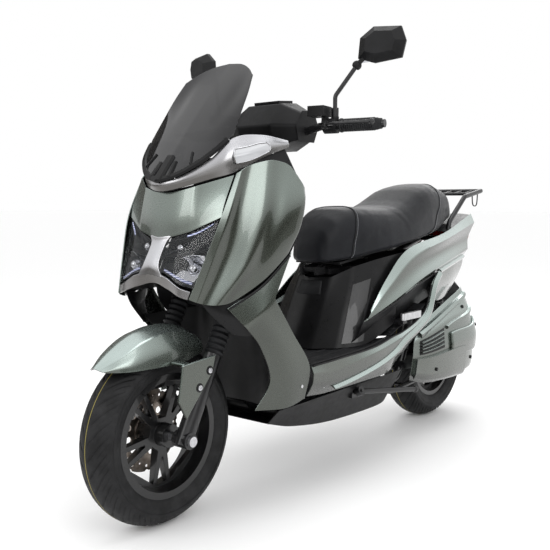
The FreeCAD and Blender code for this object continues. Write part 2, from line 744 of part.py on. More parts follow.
# ---- frame and running gear -----------------------------------------------------------------

def makeFrame():
    y = size("rail_y")
    z = size("rail_z")
    head = rod(stemPoint(size("head_low")), stemPoint(size("head_high")), size("head_r"))
    joint = stemPoint(size("head_low") + 50)
    down_route = [joint, at(418, 0, 520), at(390, 0, 430), at(384, 0, 300), at(330, 0, z)]
    down = bentTube(down_route, size("down_tube_r"), 40)
    cross = rod(at(330, -y, z), at(330, y, z), 16)
    hoop = [at(330, y, z), at(-275, y, z), at(-330, y, 330), at(-400, y, 560), at(-780, y - 32, 684)]
    rail = bentTube(hoop, size("rail_r"), 45)
    pivot_boss = rod(pivot + Vector(0, 97, 0), pivot + Vector(0, 127, 0), 19)
    stand_ear = box(Vector(stand_pivot.x - 16, 98, stand_pivot.z - 15), Vector(stand_pivot.x + 16, 106, z))
    shock_plate = block(shock_top, 14, 14, 118.5, 124, 12, 26)
    shock_bridge = block(shock_top, 14, 14, 92, 124, -14, 26)
    shock_pin = rod(shock_top + Vector(0, 95, 0), shock_top + Vector(0, 120, 0), size("shock_pin_r"))
    rack_post = rod(at(-645, 90, 645), at(-645, 106, 700), 9)
    side_bracket = box(side_pivot + Vector(-16, y - side_pivot.y, -22), side_pivot + Vector(16, -17, 4))
    side_pin = rod(side_pivot - side_hinge * 13, side_pivot + side_hinge * 24, size("side_pin_r"))
    pieces = [rail, pivot_boss, stand_ear, shock_plate, shock_bridge, shock_pin, rack_post]
    pieces += [flip(piece) for piece in pieces]
    pieces += [down, cross, side_bracket, side_pin]
    pieces.append(rod(at(-402, -y, 562), at(-402, y, 562), 12))
    pieces.append(rod(at(-770, -y + 32, 680), at(-770, y - 32, 680), 11))
    frame = head.fuse(pieces)
    head_ends = [stemPoint(size("head_low") - 5), stemPoint(size("head_high") + 5)]
    frame = frame.cut(rod(head_ends[0], head_ends[1], runningHole("stem_r")))
    frame = frame.cut(crossRod(pivot, 140, runningHole("pivot_r")))
    frame = frame.cut(crossRod(stand_pivot, 130, runningHole("stand_r")))
    feature("main_frame", Part.makeCompound([frame.removeSplitter(), bothSides(pegBracket())]))


def pegBracket():
    """A lug with the pin of a folding passenger footrest."""
    post = rod(peg_pivot - Vector(0, 0, 20), peg_pivot + Vector(0, 0, 12), size("peg_pin_r"))
    lug = box(peg_pivot + Vector(-12, -24, -20), peg_pivot + Vector(12, 8, -11.5))
    return lug.fuse(post)


shock_top = at(-560, 0, 575)
shock_low = Vector(pivot.x - 300, 0, pivot.z + 28)
stand_pivot = at(-262, 0, 185)
side_pivot = at(50, 178, 245)
side_end = at(-240, 214, 205)
side_foot_r = 11


def sideHinge():
    """Axis that swings the side stand from its folded line down and out onto the ground."""
    length = side_end.distanceToPoint(side_pivot) - side_foot_r
    folded = (side_end - side_pivot).normalize()
    drop = (side_pivot.z - side_foot_r) / length
    spread = 0.36
    dropped = Vector(math.sqrt(1 - drop ** 2 - spread ** 2), spread, -drop)
    return folded.cross(dropped).normalize()


side_hinge = sideHinge()


def makeSwingarm():
    y = size("arm_y")
    half = size("arm_w") / 2
    line = [(pivot.x + 6, pivot.z + 20), (pivot.x - 40, pivot.z + 26), (rear_axle.x + 40, rear_axle.z + 24),
            (rear_axle.x - 24, rear_axle.z + 20), (rear_axle.x - 24, rear_axle.z - 20),
            (rear_axle.x + 40, rear_axle.z - 20), (pivot.x - 40, pivot.z - 26), (pivot.x + 6, pivot.z - 20)]
    beam = slab(line, y - half, y + half)
    tab = slab([(shock_low.x + 18, pivot.z), (shock_low.x - 18, rear_axle.z), (shock_low.x - 12, shock_low.z + 10),
                (shock_low.x + 12, shock_low.z + 10)], y - half, y + half)
    pin = rod(shock_low + Vector(0, y, 0), shock_low + Vector(0, size("shock_y") + 12, 0), size("shock_pin_r"))
    pieces = [beam, tab, pin]
    pieces += [flip(piece) for piece in pieces]
    tube = rod(pivot - Vector(0, 95.5, 0), pivot + Vector(0, 95.5, 0), 20)
    pivot_pin = rod(pivot - Vector(0, 132, 0), pivot + Vector(0, 132, 0), size("pivot_r"))
    axle = rod(rear_axle - Vector(0, y + 18, 0), rear_axle + Vector(0, y + 18, 0), size("pivot_r"))
    nuts = []
    for out in (Vector(0, 1, 0), Vector(0, -1, 0)):
        nuts.append(rod(rear_axle + out * (y + half), rear_axle + out * (y + 20), 14))
    collars = []
    for sign, start in ((1, size("motor_half") + 0.5), (-1, size("disc_y") + size("disc_t") / 2 + 0.5)):
        collars.append(rod(rear_axle + Vector(0, sign * start, 0), rear_axle + Vector(0, sign * y, 0), 13))
    arm = tube.fuse(pieces + [pivot_pin, axle] + nuts + collars)
    feature("swingarm", arm.removeSplitter())

    caliper = caliperShape(rear_axle, size("rear_disc_r"), 35, 47, 66)
    mount = caliperMount()
    feature("rear_caliper", caliper.fuse(mount).removeSplitter())


def caliperMount():
    """Bracket that carries the rear caliper on the right swingarm beam."""
    inner = -(size("arm_y") - size("arm_w") / 2)
    start = rear_axle + Vector(45, inner, 30)
    return box(start, start + Vector(36, 12, 34))


def makeShocks():
    y = Vector(0, size("shock_y"), 0)
    top, low = shock_top + y, shock_low + y
    way = (low - top).normalize()
    length = (low - top).Length
    eye = size("shock_eye_r")
    body_end = top + way * (length * 0.62)
    side = Vector(0, 9, 0)
    body = rod(top + way * 6, body_end, 12).fuse(rod(top - side, top + side, eye))
    body = body.fuse(rod(top + way * 20, top + way * 26, size("spring_r")))
    body = body.cut(rod(top - side, top + side, size("shock_pin_r") + size("run_gap")))
    body = body.cut(rod(top + way * (length * 0.3), body_end, 6 + size("run_gap")))
    feature("shock_bodies", bothSides(body.removeSplitter()))

    slot_gap = 1.5    # the lower eye is the open end of the linkage, so it floats on its pin
    lower = rod(top + way * (length * 0.5), low, 6).fuse(rod(low - side, low + side, eye))
    lower = lower.fuse(rod(low - way * 40, low - way * 34, size("spring_r")))
    lower = lower.cut(rod(low - side, low + side, size("shock_pin_r") + slot_gap))
    feature("shock_rods", bothSides(lower.removeSplitter()))

    spring_from, spring_to = top + way * 26.5, low - way * 40.5
    turns = 8
    rings = []
    span = (spring_to - spring_from).Length
    wire = 3.5
    for i in range(turns):
        centre = spring_from + way * (wire + (span - 2 * wire) * i / (turns - 1))
        rings.append(Part.makeTorus(size("spring_r") - wire, wire, centre, way))
    feature("shock_springs", bothSides(*rings))


def makeStands():
    """The centre stand folded back under the swingarm and the side stand folded along the floor."""
    r = size("stand_r")
    length = (stand_pivot.z - r) / math.sin(math.radians(77)) + r
    fold = math.radians(175)
    way = Vector(math.cos(fold), 0, math.sin(fold))
    y = 120
    shaft = rod(stand_pivot - Vector(0, y, 0), stand_pivot + Vector(0, y, 0), r)
    leg_end = stand_pivot + Vector(0, y, 0) + way * (length - r)
    leg = rod(stand_pivot + Vector(0, y, 0), leg_end, r)
    foot = rod(leg_end - Vector(0, 12, 0), leg_end + Vector(0, 12, 0), r)
    bar = rod(stand_pivot + way * 60 - Vector(0, y, 0), stand_pivot + way * 60 + Vector(0, y, 0), 6)
    feature("centre_stand", shaft.fuse([leg, flip(leg), foot, flip(foot), bar]).removeSplitter())

    way = (side_end - side_pivot).normalize()
    tip = side_end - way * side_foot_r
    eye = rod(side_pivot - side_hinge * 9, side_pivot + side_hinge * 9, 14)
    leg = rod(side_pivot + way * 4, tip, 8)
    foot = Part.makeSphere(side_foot_r, tip)
    stand = eye.fuse([leg, foot])
    hole = rod(side_pivot - side_hinge * 14, side_pivot + side_hinge * 14, runningHole("side_pin_r"))
    feature("side_stand", stand.cut(hole).removeSplitter())


peg_pivot = at(-128, 222, 458)


def makeFootrests():
    length = size("peg_length")
    arm = block(peg_pivot, length, 0, peg_pivot.y - 7, peg_pivot.y + 7, 11, 11)
    knuckle = rod(peg_pivot - Vector(0, 0, 11), peg_pivot + Vector(0, 0, 11), 9)
    peg = arm.fuse(knuckle)
    hole = rod(peg_pivot - Vector(0, 0, 14), peg_pivot + Vector(0, 0, 14), runningHole("peg_pin_r"))
    peg = peg.cut(hole).removeSplitter()
    feature("footrest_left", peg)
    feature("footrest_right", flip(peg))


# ---- seat -----------------------------------------------------------------------------------

hinge_pin = at(70, 0, 612)


def makeSeat():
    base_line = [(28, 627), (-60, 637), (-300, 671), (-560, 708), (-700, 732)]
    t = size("seat_base_t")
    low = [(along(x), z) for x, z in base_line]
    outline = low + [(x, z + t) for x, z in reversed(low)]
    plate = slab(outline, -86, 86)
    arm = slab([(along(28), 627), (hinge_pin.x + 7, hinge_pin.z + 6), (hinge_pin.x, hinge_pin.z - 8),
                (hinge_pin.x - 8, hinge_pin.z), (along(16), 629), (along(16), 633)], -22, 22)
    pin = rod(hinge_pin - Vector(0, 31, 0), hinge_pin + Vector(0, 31, 0), size("seat_hinge_r"))
    feature("seat_base", plate.fuse([arm, pin]).removeSplitter())

    sections = [
        (84, 46, 40, 636, 690), (30, 92, 84, 636, 772), (-60, 122, 108, 645, 802), (-190, 148, 128, 663, 799),
        (-300, 156, 132, 679, 802), (-400, 150, 126, 693, 838), (-480, 142, 118, 705, 872), (-580, 118, 96, 719, 886),
        (-680, 76, 66, 737, 880), (-760, 60, 44, 757, 862), (-812, 28, 20, 786, 834),
    ]
    feature("seat_cushion", boxLoft(sections))


# ---- body panels ----------------------------------------------------------------------------

def makeNose():
    core = at(470, 0, 700)
    hood = stations([
        [(700, 0, 728), (694, 46, 735), (682, 92, 747), (650, 164, 783)],
        [(692, 0, 780), (688, 46, 783), (676, 92, 793), (640, 162, 822)],
        [(678, 0, 838), (674, 46, 842), (662, 92, 852), (616, 162, 876)],
    ])
    feature("hood", skin(acrossMiddle(hood), size("panel_t"), core))

    wing = stations([
        [(727, 130, 586), (682, 160, 568), (622, 184, 576), (545, 214, 626), (455, 232, 700)],
        [(693, 152, 682), (642, 180, 664), (580, 210, 664), (512, 230, 706), (428, 241, 758)],
        [(654, 171, 785), (602, 193, 782), (545, 216, 786), (480, 238, 802), (411, 243, 818)],
        [(600, 172, 890), (556, 183, 912), (502, 198, 928), (448, 216, 914), (408, 238, 858)],
    ])
    shield = stations([
        [(640, 176, 560), (548, 214, 616), (456, 232, 692)],
        [(598, 201, 508), (558, 222, 545), (520, 229, 577)],
        [(548, 205, 452), (500, 226, 468), (450, 233, 480)],
        [(508, 203, 360), (450, 224, 370), (378, 233, 382)],
        [(540, 178, 284), (450, 208, 278), (378, 216, 292)],
    ])
    wing_shell = skin(wing, size("panel_t"), core)
    shield_shell = skin(shield, size("panel_t"), core)
    feature("front_side_panels", bothSides(wing_shell, shield_shell))

    arch = stations([
        [(721, 0, 619), (728, 62, 605), (733, 100, 592), (726, 124, 585)],
        [(733, 0, 648), (735, 62, 634), (733, 100, 614), (722, 130, 604)],
    ])
    column = stations([
        [(733, 0, 649), (733, 15, 648)],
        [(703, 0, 725), (702, 13, 725)],
    ])
    arch_shell = skin(acrossMiddle(arch), size("panel_t"), core)
    column_shell = skin(acrossMiddle(column), size("panel_t"), core)
    low = [(692, 0, 846), (676, 60, 856), (634, 118, 876), (590, 160, 894), (505, 188, 936), (424, 197, 962)]
    high = [(700, 0, 868), (680, 60, 884), (638, 114, 922), (585, 148, 978), (505, 172, 990), (420, 190, 980)]
    trim_shell = skin(acrossMiddle(stations([low, high])), size("panel_t"), core)
    feature("front_trim", Part.makeCompound([arch_shell.fuse(column_shell), trim_shell]))

    lens = stations([
        [(731, 19, 652), (733, 64, 640), (730, 100, 621), (717, 134, 612)],
        [(717, 19, 690), (716, 64, 694), (706, 106, 690), (686, 149, 688)],
        [(702, 19, 726), (692, 58, 736), (680, 98, 748), (650, 160, 778)],
    ])
    lens_shell = skin(lens, size("panel_t"), core)
    signal = stations([
        [(592, 164, 912), (540, 184, 930), (500, 196, 945)],
        [(590, 158, 950), (540, 174, 962), (500, 186, 968)],
    ])
    signal_shell = skin(signal, size("panel_t"), at(900, 900, 900))
    feature("front_lenses", bothSides(lens_shell, signal_shell))

    bowl = stations([
        [(722, 20, 650), (724, 64, 638), (720, 100, 624), (708, 132, 616)],
        [(640, 24, 690), (636, 64, 690), (632, 106, 690), (630, 138, 696)],
        [(692, 20, 720), (682, 58, 730), (670, 98, 742), (642, 150, 770)],
    ])
    feature("headlight_housing", bothSides(skin(bowl, size("panel_t"), core)))

    screen = stations([
        [(705, 0, 873), (686, 60, 890), (644, 115, 931), (584, 149, 988)],
        [(636, 0, 958), (620, 60, 973), (590, 102, 1004), (552, 142, 1040)],
        [(545, 0, 1068), (535, 58, 1077), (518, 96, 1092), (514, 134, 1100)],
        [(437, 0, 1194), (445, 52, 1187), (462, 92, 1170), (482, 122, 1148)],
    ])
    feature("windscreen", skin(acrossMiddle(screen), size("screen_t"), core))

    shroud = stations([
        [(446, 0, 520), (446, 70, 520), (452, 135, 520), (584, 190, 508)],
        [(432, 0, 440), (434, 70, 440), (446, 135, 440), (536, 194, 448)],
        [(425, 0, 350), (427, 70, 350), (445, 135, 350), (498, 192, 358)],
        [(425, 0, 268), (428, 70, 268), (452, 135, 270), (524, 170, 284)],
    ])
    feature("front_inner_shroud", skin(acrossMiddle(shroud), size("panel_t"), at(-3000, 0, 400)))


def makeCockpit():
    inner = stations([
        [(266, 0, 912), (283, 80, 909), (348, 150, 900), (404, 226, 850)],
        [(322, 0, 770), (334, 80, 768), (384, 160, 760), (424, 232, 746)],
        [(390, 0, 610), (398, 80, 608), (440, 160, 595), (512, 220, 580)],
        [(356, 0, 480), (366, 80, 480), (398, 160, 478), (444, 226, 478)],
        [(336, 0, 388), (343, 80, 388), (350, 160, 388), (370, 222, 390)],
    ])
    shield = skin(acrossMiddle(inner), size("panel_t"), at(700, 0, 700))

    dash = stations([
        [(264, 0, 919), (281, 80, 916), (346, 150, 908), (402, 220, 866)],
        [(480, 0, 940), (480, 60, 940), (478, 120, 938), (470, 170, 928)],
    ])
    top = skin(acrossMiddle(dash), size("panel_t"), at(480, 0, 600))
    opening = rod(stemPoint(size("head_high")), stemPoint(size("bar_s")), 46)
    feature("inner_leg_shield", Part.makeCompound([shield, top.cut(opening)]))


def makeFloor():
    under = at(0, 0, 0)
    half = stations([
        [(346, 0, 376), (350, 110, 376), (362, 222, 378)],
        [(200, 0, 372), (200, 110, 374), (200, 226, 382)],
        [(60, 0, 372), (60, 110, 378), (60, 224, 388)],
        [(-60, 0, 376), (-60, 110, 384), (-60, 218, 404)],
    ])
    board = skin(acrossMiddle(half), size("panel_t"), under)
    shelf = stations([
        [(-64, 130, 396), (-64, 216, 408)],
        [(-128, 134, 420), (-128, 212, 428)],
        [(-220, 138, 436), (-220, 206, 440)],
        [(-320, 140, 478), (-320, 196, 480)],
    ])
    shelf_shell = skin(shelf, size("panel_t"), under)
    feature("floor_board", Part.makeCompound([board, shelf_shell, flip(shelf_shell)]))

    sill = stations([
        [(372, 234, 380), (364, 236, 340), (370, 216, 296)],
        [(255, 236, 383), (252, 228, 330), (255, 205, 285)],
        [(60, 232, 388), (60, 234, 350), (60, 208, 286)],
        [(-60, 226, 404), (-62, 230, 366), (-64, 204, 288)],
        [(-130, 222, 412), (-132, 226, 384), (-136, 200, 322)],
        [(-235, 214, 436), (-240, 216, 412), (-250, 198, 378)],
        [(-310, 205, 468), (-318, 206, 448), (-330, 190, 425)],
        [(-372, 192, 545), (-388, 192, 530), (-402, 178, 505)],
        [(-440, 180, 582), (-452, 178, 570), (-462, 166, 556)],
    ])
    feature("sill_panels", bothSides(skin(sill, size("panel_t"), at(-30, 0, 300))))

    pan = stations([
        [(418, 0, 212), (418, 118, 212), (418, 160, 256)],
        [(300, 0, 180), (300, 116, 180), (300, 170, 262)],
        [(100, 0, 152), (100, 108, 152), (100, 172, 266)],
        [(-170, 0, 147), (-170, 106, 147), (-170, 170, 268)],
        [(-226, 0, 166), (-226, 106, 168), (-226, 166, 272)],
    ])
    belly = skin(acrossMiddle(pan), size("panel_t"), at(0, 0, 600))
    notch = box(side_pivot + Vector(-22, -50, -22), side_pivot + Vector(22, 20, 40))
    feature("belly_pan", belly.cut(notch))

    middle = along(25)
    low = Vector(middle - size("battery_length") / 2, -size("battery_half"), 182)
    high = Vector(middle + size("battery_length") / 2, size("battery_half"), 182 + size("battery_height"))
    pack = box(low, high)
    edges = [edge for edge in pack.Edges if abs(edge.tangentAt(edge.FirstParameter).z) > 0.9]
    feature("battery_pack", pack.makeFillet(12, edges))


def makeTail():
    core = at(-300, 0, 560)
    cover = stations([
        [(165, 0, 390), (150, 60, 390), (105, 132, 396), (20, 182, 416), (-120, 196, 452)],
        [(104, 0, 500), (90, 60, 500), (44, 124, 512), (-40, 160, 534), (-170, 178, 560)],
        [(60, 0, 586), (44, 62, 588), (-20, 108, 620), (-112, 138, 640), (-240, 152, 655)],
    ])
    feature("under_seat_cover", skin(acrossMiddle(cover), size("panel_t"), core))

    flank = stations([
        [(60, 200, 462), (-110, 200, 500), (-310, 190, 552), (-540, 156, 588), (-790, 100, 614)],
        [(40, 206, 480), (-100, 206, 548), (-290, 196, 615), (-550, 164, 660), (-850, 106, 700)],
        [(20, 196, 494), (-95, 184, 586), (-250, 169, 668), (-560, 137, 710), (-893, 80, 776)],
    ])
    feature("side_panels", bothSides(skin(flank, size("panel_t"), core)))

    tail = stations([
        [(-852, 0, 640), (-846, 50, 640), (-822, 92, 642)],
        [(-886, 0, 700), (-880, 50, 700), (-852, 95, 702)],
        [(-905, 0, 758), (-900, 40, 758), (-884, 72, 760)],
    ])
    feature("tail_light", skin(acrossMiddle(tail), 12, core))

    arch = []
    rise = rear_axle + Vector(0, 0, 52)
    radius = size("rear_tyre_r") + 38
    for angle in range(62, 160, 16):
        turn = math.radians(angle)
        spot = Vector(radius * math.cos(turn), 0, radius * math.sin(turn))
        edge = Vector(spot.x * 0.9, 72, spot.z * 0.9)
        shoulder = Vector(spot.x * 0.985, 46, spot.z * 0.985)
        arch.append([rise + spot, rise + shoulder, rise + edge])
    feature("rear_mudguard", skin(acrossMiddle(arch), size("panel_t"), rise))

    tub = box(at(-384, -90, 402), at(-25, 90, 618))
    ledge = box(at(-27, -46, 594), at(30, 46, 612))
    shelf = box(at(-640, -74, 600), at(-380, 74, 640))
    hollow = box(at(-380, -86, 406), at(-29, 86, 640))
    shelf_hollow = box(at(-636, -70, 604), at(-370, 70, 660))
    slope = slab([(along(40), 614), (along(40), 700), (along(-700), 760), (along(-700), 716), (along(-300), 655),
                  (along(-60), 620)], -120, 120)
    bucket = tub.fuse(shelf).cut(hollow).cut(shelf_hollow).cut(slope)
    ears = []
    for y_low in (24, -30):
        ears.append(box(at(26, y_low, 594), Vector(hinge_pin.x + 8, y_low + 6, hinge_pin.z + 7)))
    bucket = bucket.fuse(ears + [ledge])
    bucket = bucket.cut(crossRod(hinge_pin, 40, runningHole("seat_hinge_r")))
    feature("storage_bucket", bucket.removeSplitter())

    r = size("rack_r")
    route = [at(-645, 106, 704), at(-658, 107, 748), at(-778, 108, 842), at(-936, 100, 866)]
    tube = bentTube(route, r, 30)
    rear_bar = rod(at(-934, -100, 866), at(-934, 100, 866), r - 1)
    mid_bar = rod(at(-852, -104, 853), at(-852, 104, 853), r - 3)
    slats = [rod(at(-852, y, 853), at(-934, y, 866), 4) for y in (-66, -22, 22, 66)]
    rack = tube.fuse([flip(tube), rear_bar, mid_bar] + slats)
    feature("rear_rack", rack.removeSplitter())


def makeArmCover():
    """Left swingarm cover: an upper hugger over the wheel and a lower box cover."""
    rows = [
        [(-300, 150, 214), (-270, 172, 242), (-286, 172, 300), (-302, 166, 350), (-345, 150, 372)],
        [(-400, 152, 188), (-400, 178, 216), (-400, 182, 300), (-410, 173, 370), (-430, 148, 416)],
        [(-560, 150, 174), (-560, 180, 206), (-560, 184, 310), (-570, 170, 400), (-582, 140, 462)],
        [(-720, 140, 168), (-735, 166, 202), (-745, 170, 310), (-735, 158, 410), (-725, 130, 505)],
        [(-742, 126, 180), (-808, 140, 262), (-811, 136, 345), (-776, 126, 440), (-752, 118, 500)],
    ]
    points = [[Vector(rear_axle.x + x - rear_station, y, z) for x, y, z in row] for row in rows]
    feature("swingarm_cover", skin(points, size("panel_t"), rear_axle))


def makeScrews():
    """Round-headed screws, each on the face of the panel that it holds."""
    spots = [("front_side_panels", 400, 330), ("sill_panels", 300, 312), ("sill_panels", 20, 374),
             ("side_panels", -250, 640), ("side_panels", -420, 590)]
    heads = []
    for label, station, z in spots:
        panel = [item.Shape for item in parts if item.Label == label][0]
        sight = Part.makeLine(at(station, 400, z), at(station, 100, z))
        face_y = max(vertex.Y for vertex in panel.common(sight).Vertexes)
        heads.append(rod(at(station, face_y, z), at(station, face_y + 3, z), size("screw_r")))
    feature("body_screws", bothSides(*heads))


makeFrontWheel()
makeForkLower()
makeSteering()
makeFrame()
makeSwingarm()
makeRearWheel()
makeShocks()
makeStands()
makeFootrests()
makeSeat()
makeNose()
makeCockpit()
makeFloor()
makeTail()
makeArmCover()
makeScrews()

# ---- checks and files -----------------------------------------------------------------------

doc.recompute()
for item in doc.Objects:
    if "Invalid" in item.State or "Error" in item.State:
        raise RuntimeError("%s did not build: %s" % (item.Label, item.State))
for item in parts:
    if item.Shape.isNull() or not item.Shape.isValid():
        raise RuntimeError("%s has no valid shape" % item.Label)

os.makedirs("parts", exist_ok=True)
for item in parts:
    item.Shape.exportStep("parts/%s.step" % item.Label)
print("%d sub-parts written" % len(parts))
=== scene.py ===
import json
import math

import bmesh
import bpy
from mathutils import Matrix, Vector


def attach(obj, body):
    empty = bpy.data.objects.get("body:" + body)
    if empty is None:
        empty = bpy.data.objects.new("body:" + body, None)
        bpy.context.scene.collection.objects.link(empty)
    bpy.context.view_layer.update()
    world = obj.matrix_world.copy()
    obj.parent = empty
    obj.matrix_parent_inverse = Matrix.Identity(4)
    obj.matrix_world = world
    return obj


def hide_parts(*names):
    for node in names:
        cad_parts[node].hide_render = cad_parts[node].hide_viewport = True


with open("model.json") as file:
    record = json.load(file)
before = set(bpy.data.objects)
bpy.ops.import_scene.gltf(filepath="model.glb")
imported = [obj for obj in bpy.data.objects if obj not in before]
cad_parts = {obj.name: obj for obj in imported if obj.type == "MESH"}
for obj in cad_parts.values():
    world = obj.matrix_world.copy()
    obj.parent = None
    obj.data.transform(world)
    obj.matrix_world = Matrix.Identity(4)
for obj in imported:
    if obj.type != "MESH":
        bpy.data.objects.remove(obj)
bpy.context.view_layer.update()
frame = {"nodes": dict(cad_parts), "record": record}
scene = bpy.context.scene

mm = 0.001
frontAxle = Vector((710, 0, 232)) * mm
rearAxle = Vector((-675, 0, 236)) * mm
barCentre = Vector((255.69, 0, 1009.75)) * mm
barSweep = math.radians(10.2)
barOut = Vector((-math.sin(barSweep), math.cos(barSweep), 0))
barStart = Vector((barCentre.x, 0.175, barCentre.z + 0.019))


def finish(name, metal=0.0, rough=0.5, coat=0.0, specular=0.5, alpha=1.0):
    mat = bpy.data.materials.new(name)
    mat.use_nodes = True
    shader = mat.node_tree.nodes["Principled BSDF"]
    shader.inputs["Metallic"].default_value = metal
    shader.inputs["Roughness"].default_value = rough
    shader.inputs["Coat Weight"].default_value = coat
    shader.inputs["Coat Roughness"].default_value = 0.04
    shader.inputs["Specular IOR Level"].default_value = specular
    shader.inputs["Alpha"].default_value = alpha
    return mat


def place(mat, stretch=(1, 1, 1)):
    tree = mat.node_tree
    where = tree.nodes.new("ShaderNodeTexCoord")
    scale = tree.nodes.new("ShaderNodeMapping")
    scale.inputs["Scale"].default_value = stretch
    tree.links.new(where.outputs["Object"], scale.inputs["Vector"])
    return scale.outputs["Vector"]


def noise(mat, scale, detail=4.0, stretch=(1, 1, 1)):
    node = mat.node_tree.nodes.new("ShaderNodeTexNoise")
    node.inputs["Scale"].default_value = scale
    node.inputs["Detail"].default_value = detail
    mat.node_tree.links.new(place(mat, stretch), node.inputs["Vector"])
    return node.outputs["Fac"]


def cells(mat, scale, feature="F1", stretch=(1, 1, 1)):
    node = mat.node_tree.nodes.new("ShaderNodeTexVoronoi")
    node.feature = feature
    node.inputs["Scale"].default_value = scale
    mat.node_tree.links.new(place(mat, stretch), node.inputs["Vector"])
    return node.outputs["Distance"]


def waves(mat, scale, axis="X", stretch=(1, 1, 1)):
    node = mat.node_tree.nodes.new("ShaderNodeTexWave")
    node.bands_direction = axis
    node.inputs["Scale"].default_value = scale
    mat.node_tree.links.new(place(mat, stretch), node.inputs["Vector"])
    return node.outputs["Fac"]


def tint(mat, fac, stops):
    ramp = mat.node_tree.nodes.new("ShaderNodeValToRGB")
    while len(ramp.color_ramp.elements) < len(stops):
        ramp.color_ramp.elements.new(0.5)
    for element, (spot, colour) in zip(ramp.color_ramp.elements, stops):
        element.position = spot
        element.color = (*colour, 1)
    mat.node_tree.links.new(fac, ramp.inputs["Fac"])
    shader = mat.node_tree.nodes["Principled BSDF"]
    mat.node_tree.links.new(ramp.outputs["Color"], shader.inputs["Base Color"])
    return ramp.outputs["Color"]


def roughen(mat, fac, low, high):
    between = mat.node_tree.nodes.new("ShaderNodeMapRange")
    between.inputs["To Min"].default_value = low
    between.inputs["To Max"].default_value = high
    mat.node_tree.links.new(fac, between.inputs["Value"])
    shader = mat.node_tree.nodes["Principled BSDF"]
    mat.node_tree.links.new(between.outputs["Result"], shader.inputs["Roughness"])


def emboss(mat, fac, depth, strength=1.0, before=None):
    bump = mat.node_tree.nodes.new("ShaderNodeBump")
    bump.inputs["Distance"].default_value = depth
    bump.inputs["Strength"].default_value = strength
    mat.node_tree.links.new(fac, bump.inputs["Height"])
    if before is not None:
        mat.node_tree.links.new(before, bump.inputs["Normal"])
    mat.node_tree.links.new(bump.outputs["Normal"], mat.node_tree.nodes["Principled BSDF"].inputs["Normal"])
    return bump.outputs["Normal"]


def mix(mat, a, b, kind="MULTIPLY"):
    node = mat.node_tree.nodes.new("ShaderNodeMath")
    node.operation = kind
    mat.node_tree.links.new(a, node.inputs[0])
    mat.node_tree.links.new(b, node.inputs[1])
    return node.outputs["Value"]


# input for painted light and shade: how far a surface faces up, read from its normal
def facingShade(mat, low, high):
    tree = mat.node_tree
    where = tree.nodes.new("ShaderNodeTexCoord")
    parts = tree.nodes.new("ShaderNodeSeparateXYZ")
    scale = tree.nodes.new("ShaderNodeMapRange")
    scale.inputs["From Min"].default_value = low
    scale.inputs["From Max"].default_value = high
    tree.links.new(where.outputs["Normal"], parts.inputs[0])
    tree.links.new(parts.outputs["Z"], scale.inputs["Value"])
    return scale.outputs["Result"]


def spread(mat, fac, low, high):
    scale = mat.node_tree.nodes.new("ShaderNodeMapRange")
    scale.inputs["To Min"].default_value = low
    scale.inputs["To Max"].default_value = high
    mat.node_tree.links.new(fac, scale.inputs["Value"])
    return scale.outputs["Result"]


# painted reflection and shade tones for the paint: dark olive facing down, light sage facing up
paintShadeTones = {"under": (0.032, 0.035, 0.029), "side": (0.080, 0.090, 0.076),
              "shoulder": (0.230, 0.270, 0.248),
              "top": (0.50, 0.585, 0.56), "lowest": -0.35, "highest": 0.8}


def sagePaint():
    mat = finish("sageMetallicPaint", metal=0.86, rough=0.27, coat=0.8)
    flakes = cells(mat, 1900.0)
    speck = spread(mat, mix(mat, flakes, noise(mat, 6.0, 3.0)), -0.008, 0.014)
    slope = facingShade(mat, paintShadeTones["lowest"], paintShadeTones["highest"])
    shade = mix(mat, slope, speck, "ADD")  # painted reflection and shade: up-facing paint is coloured light as if reflecting the sky, down-facing paint dark as if reflecting the ground; the flakes add a small speckle
    tint(mat, shade, [(0.0, paintShadeTones["under"]), (0.32, paintShadeTones["side"]),
                      (0.6, paintShadeTones["shoulder"]), (0.95, paintShadeTones["top"])])
    roughen(mat, noise(mat, 240.0), 0.23, 0.31)
    emboss(mat, flakes, 0.000004, 0.08)
    return mat


def blackPlastic(name="texturedBlackPlastic", tone=0.007, rough=0.46):
    mat = finish(name, rough=rough, specular=0.2)
    grain = cells(mat, 900.0)
    tint(mat, noise(mat, 14.0, 6.0), [(0.3, (tone, tone, tone * 1.05)),
                                      (0.75, (tone * 1.9, tone * 1.9, tone * 2.05))])
    roughen(mat, noise(mat, 60.0), rough - 0.1, rough + 0.12)
    emboss(mat, grain, 0.0002, 0.25)
    return mat


def satinSilver():
    mat = finish("satinSilverTrim", metal=0.9, rough=0.3, coat=0.35)
    # painted reflection and shade: the trim is coloured light where it faces up and dark where it faces down
    shade = mix(mat, facingShade(mat, -0.3, 0.75), spread(mat, noise(mat, 5.0, 1.0), -0.02, 0.02), "ADD")
    tint(mat, shade, [(0.0, (0.10, 0.095, 0.09)), (0.3, (0.27, 0.265, 0.265)),
                      (0.62, (0.50, 0.50, 0.52)), (0.95, (0.68, 0.69, 0.72))])
    roughen(mat, noise(mat, 12.0, 1.0), 0.24, 0.3)
    return mat


def mirrorChrome(name="chromeReflector", low=0.10, high=0.18, bright=0.62):
    mat = finish(name, metal=1.0, rough=low)
    tint(mat, noise(mat, 40.0), [(0.3, (bright * 0.92, bright * 0.94, bright)),
                                 (0.75, (bright, bright, bright * 1.05))])
    roughen(mat, noise(mat, 90.0), low, high)
    return mat


def coatedSteel(name, tone, metal=0.35, rough=0.38, coat=0.25):
    mat = finish(name, metal=metal, rough=rough, coat=coat)
    tint(mat, noise(mat, 34.0, 6.0), [(0.3, tuple(c * 0.8 for c in tone)),
                                      (0.72, tuple(c * 1.35 for c in tone))])
    roughen(mat, noise(mat, 150.0, 6.0), rough - 0.09, rough + 0.12)
    emboss(mat, noise(mat, 700.0), 0.0001, 0.35)
    return mat


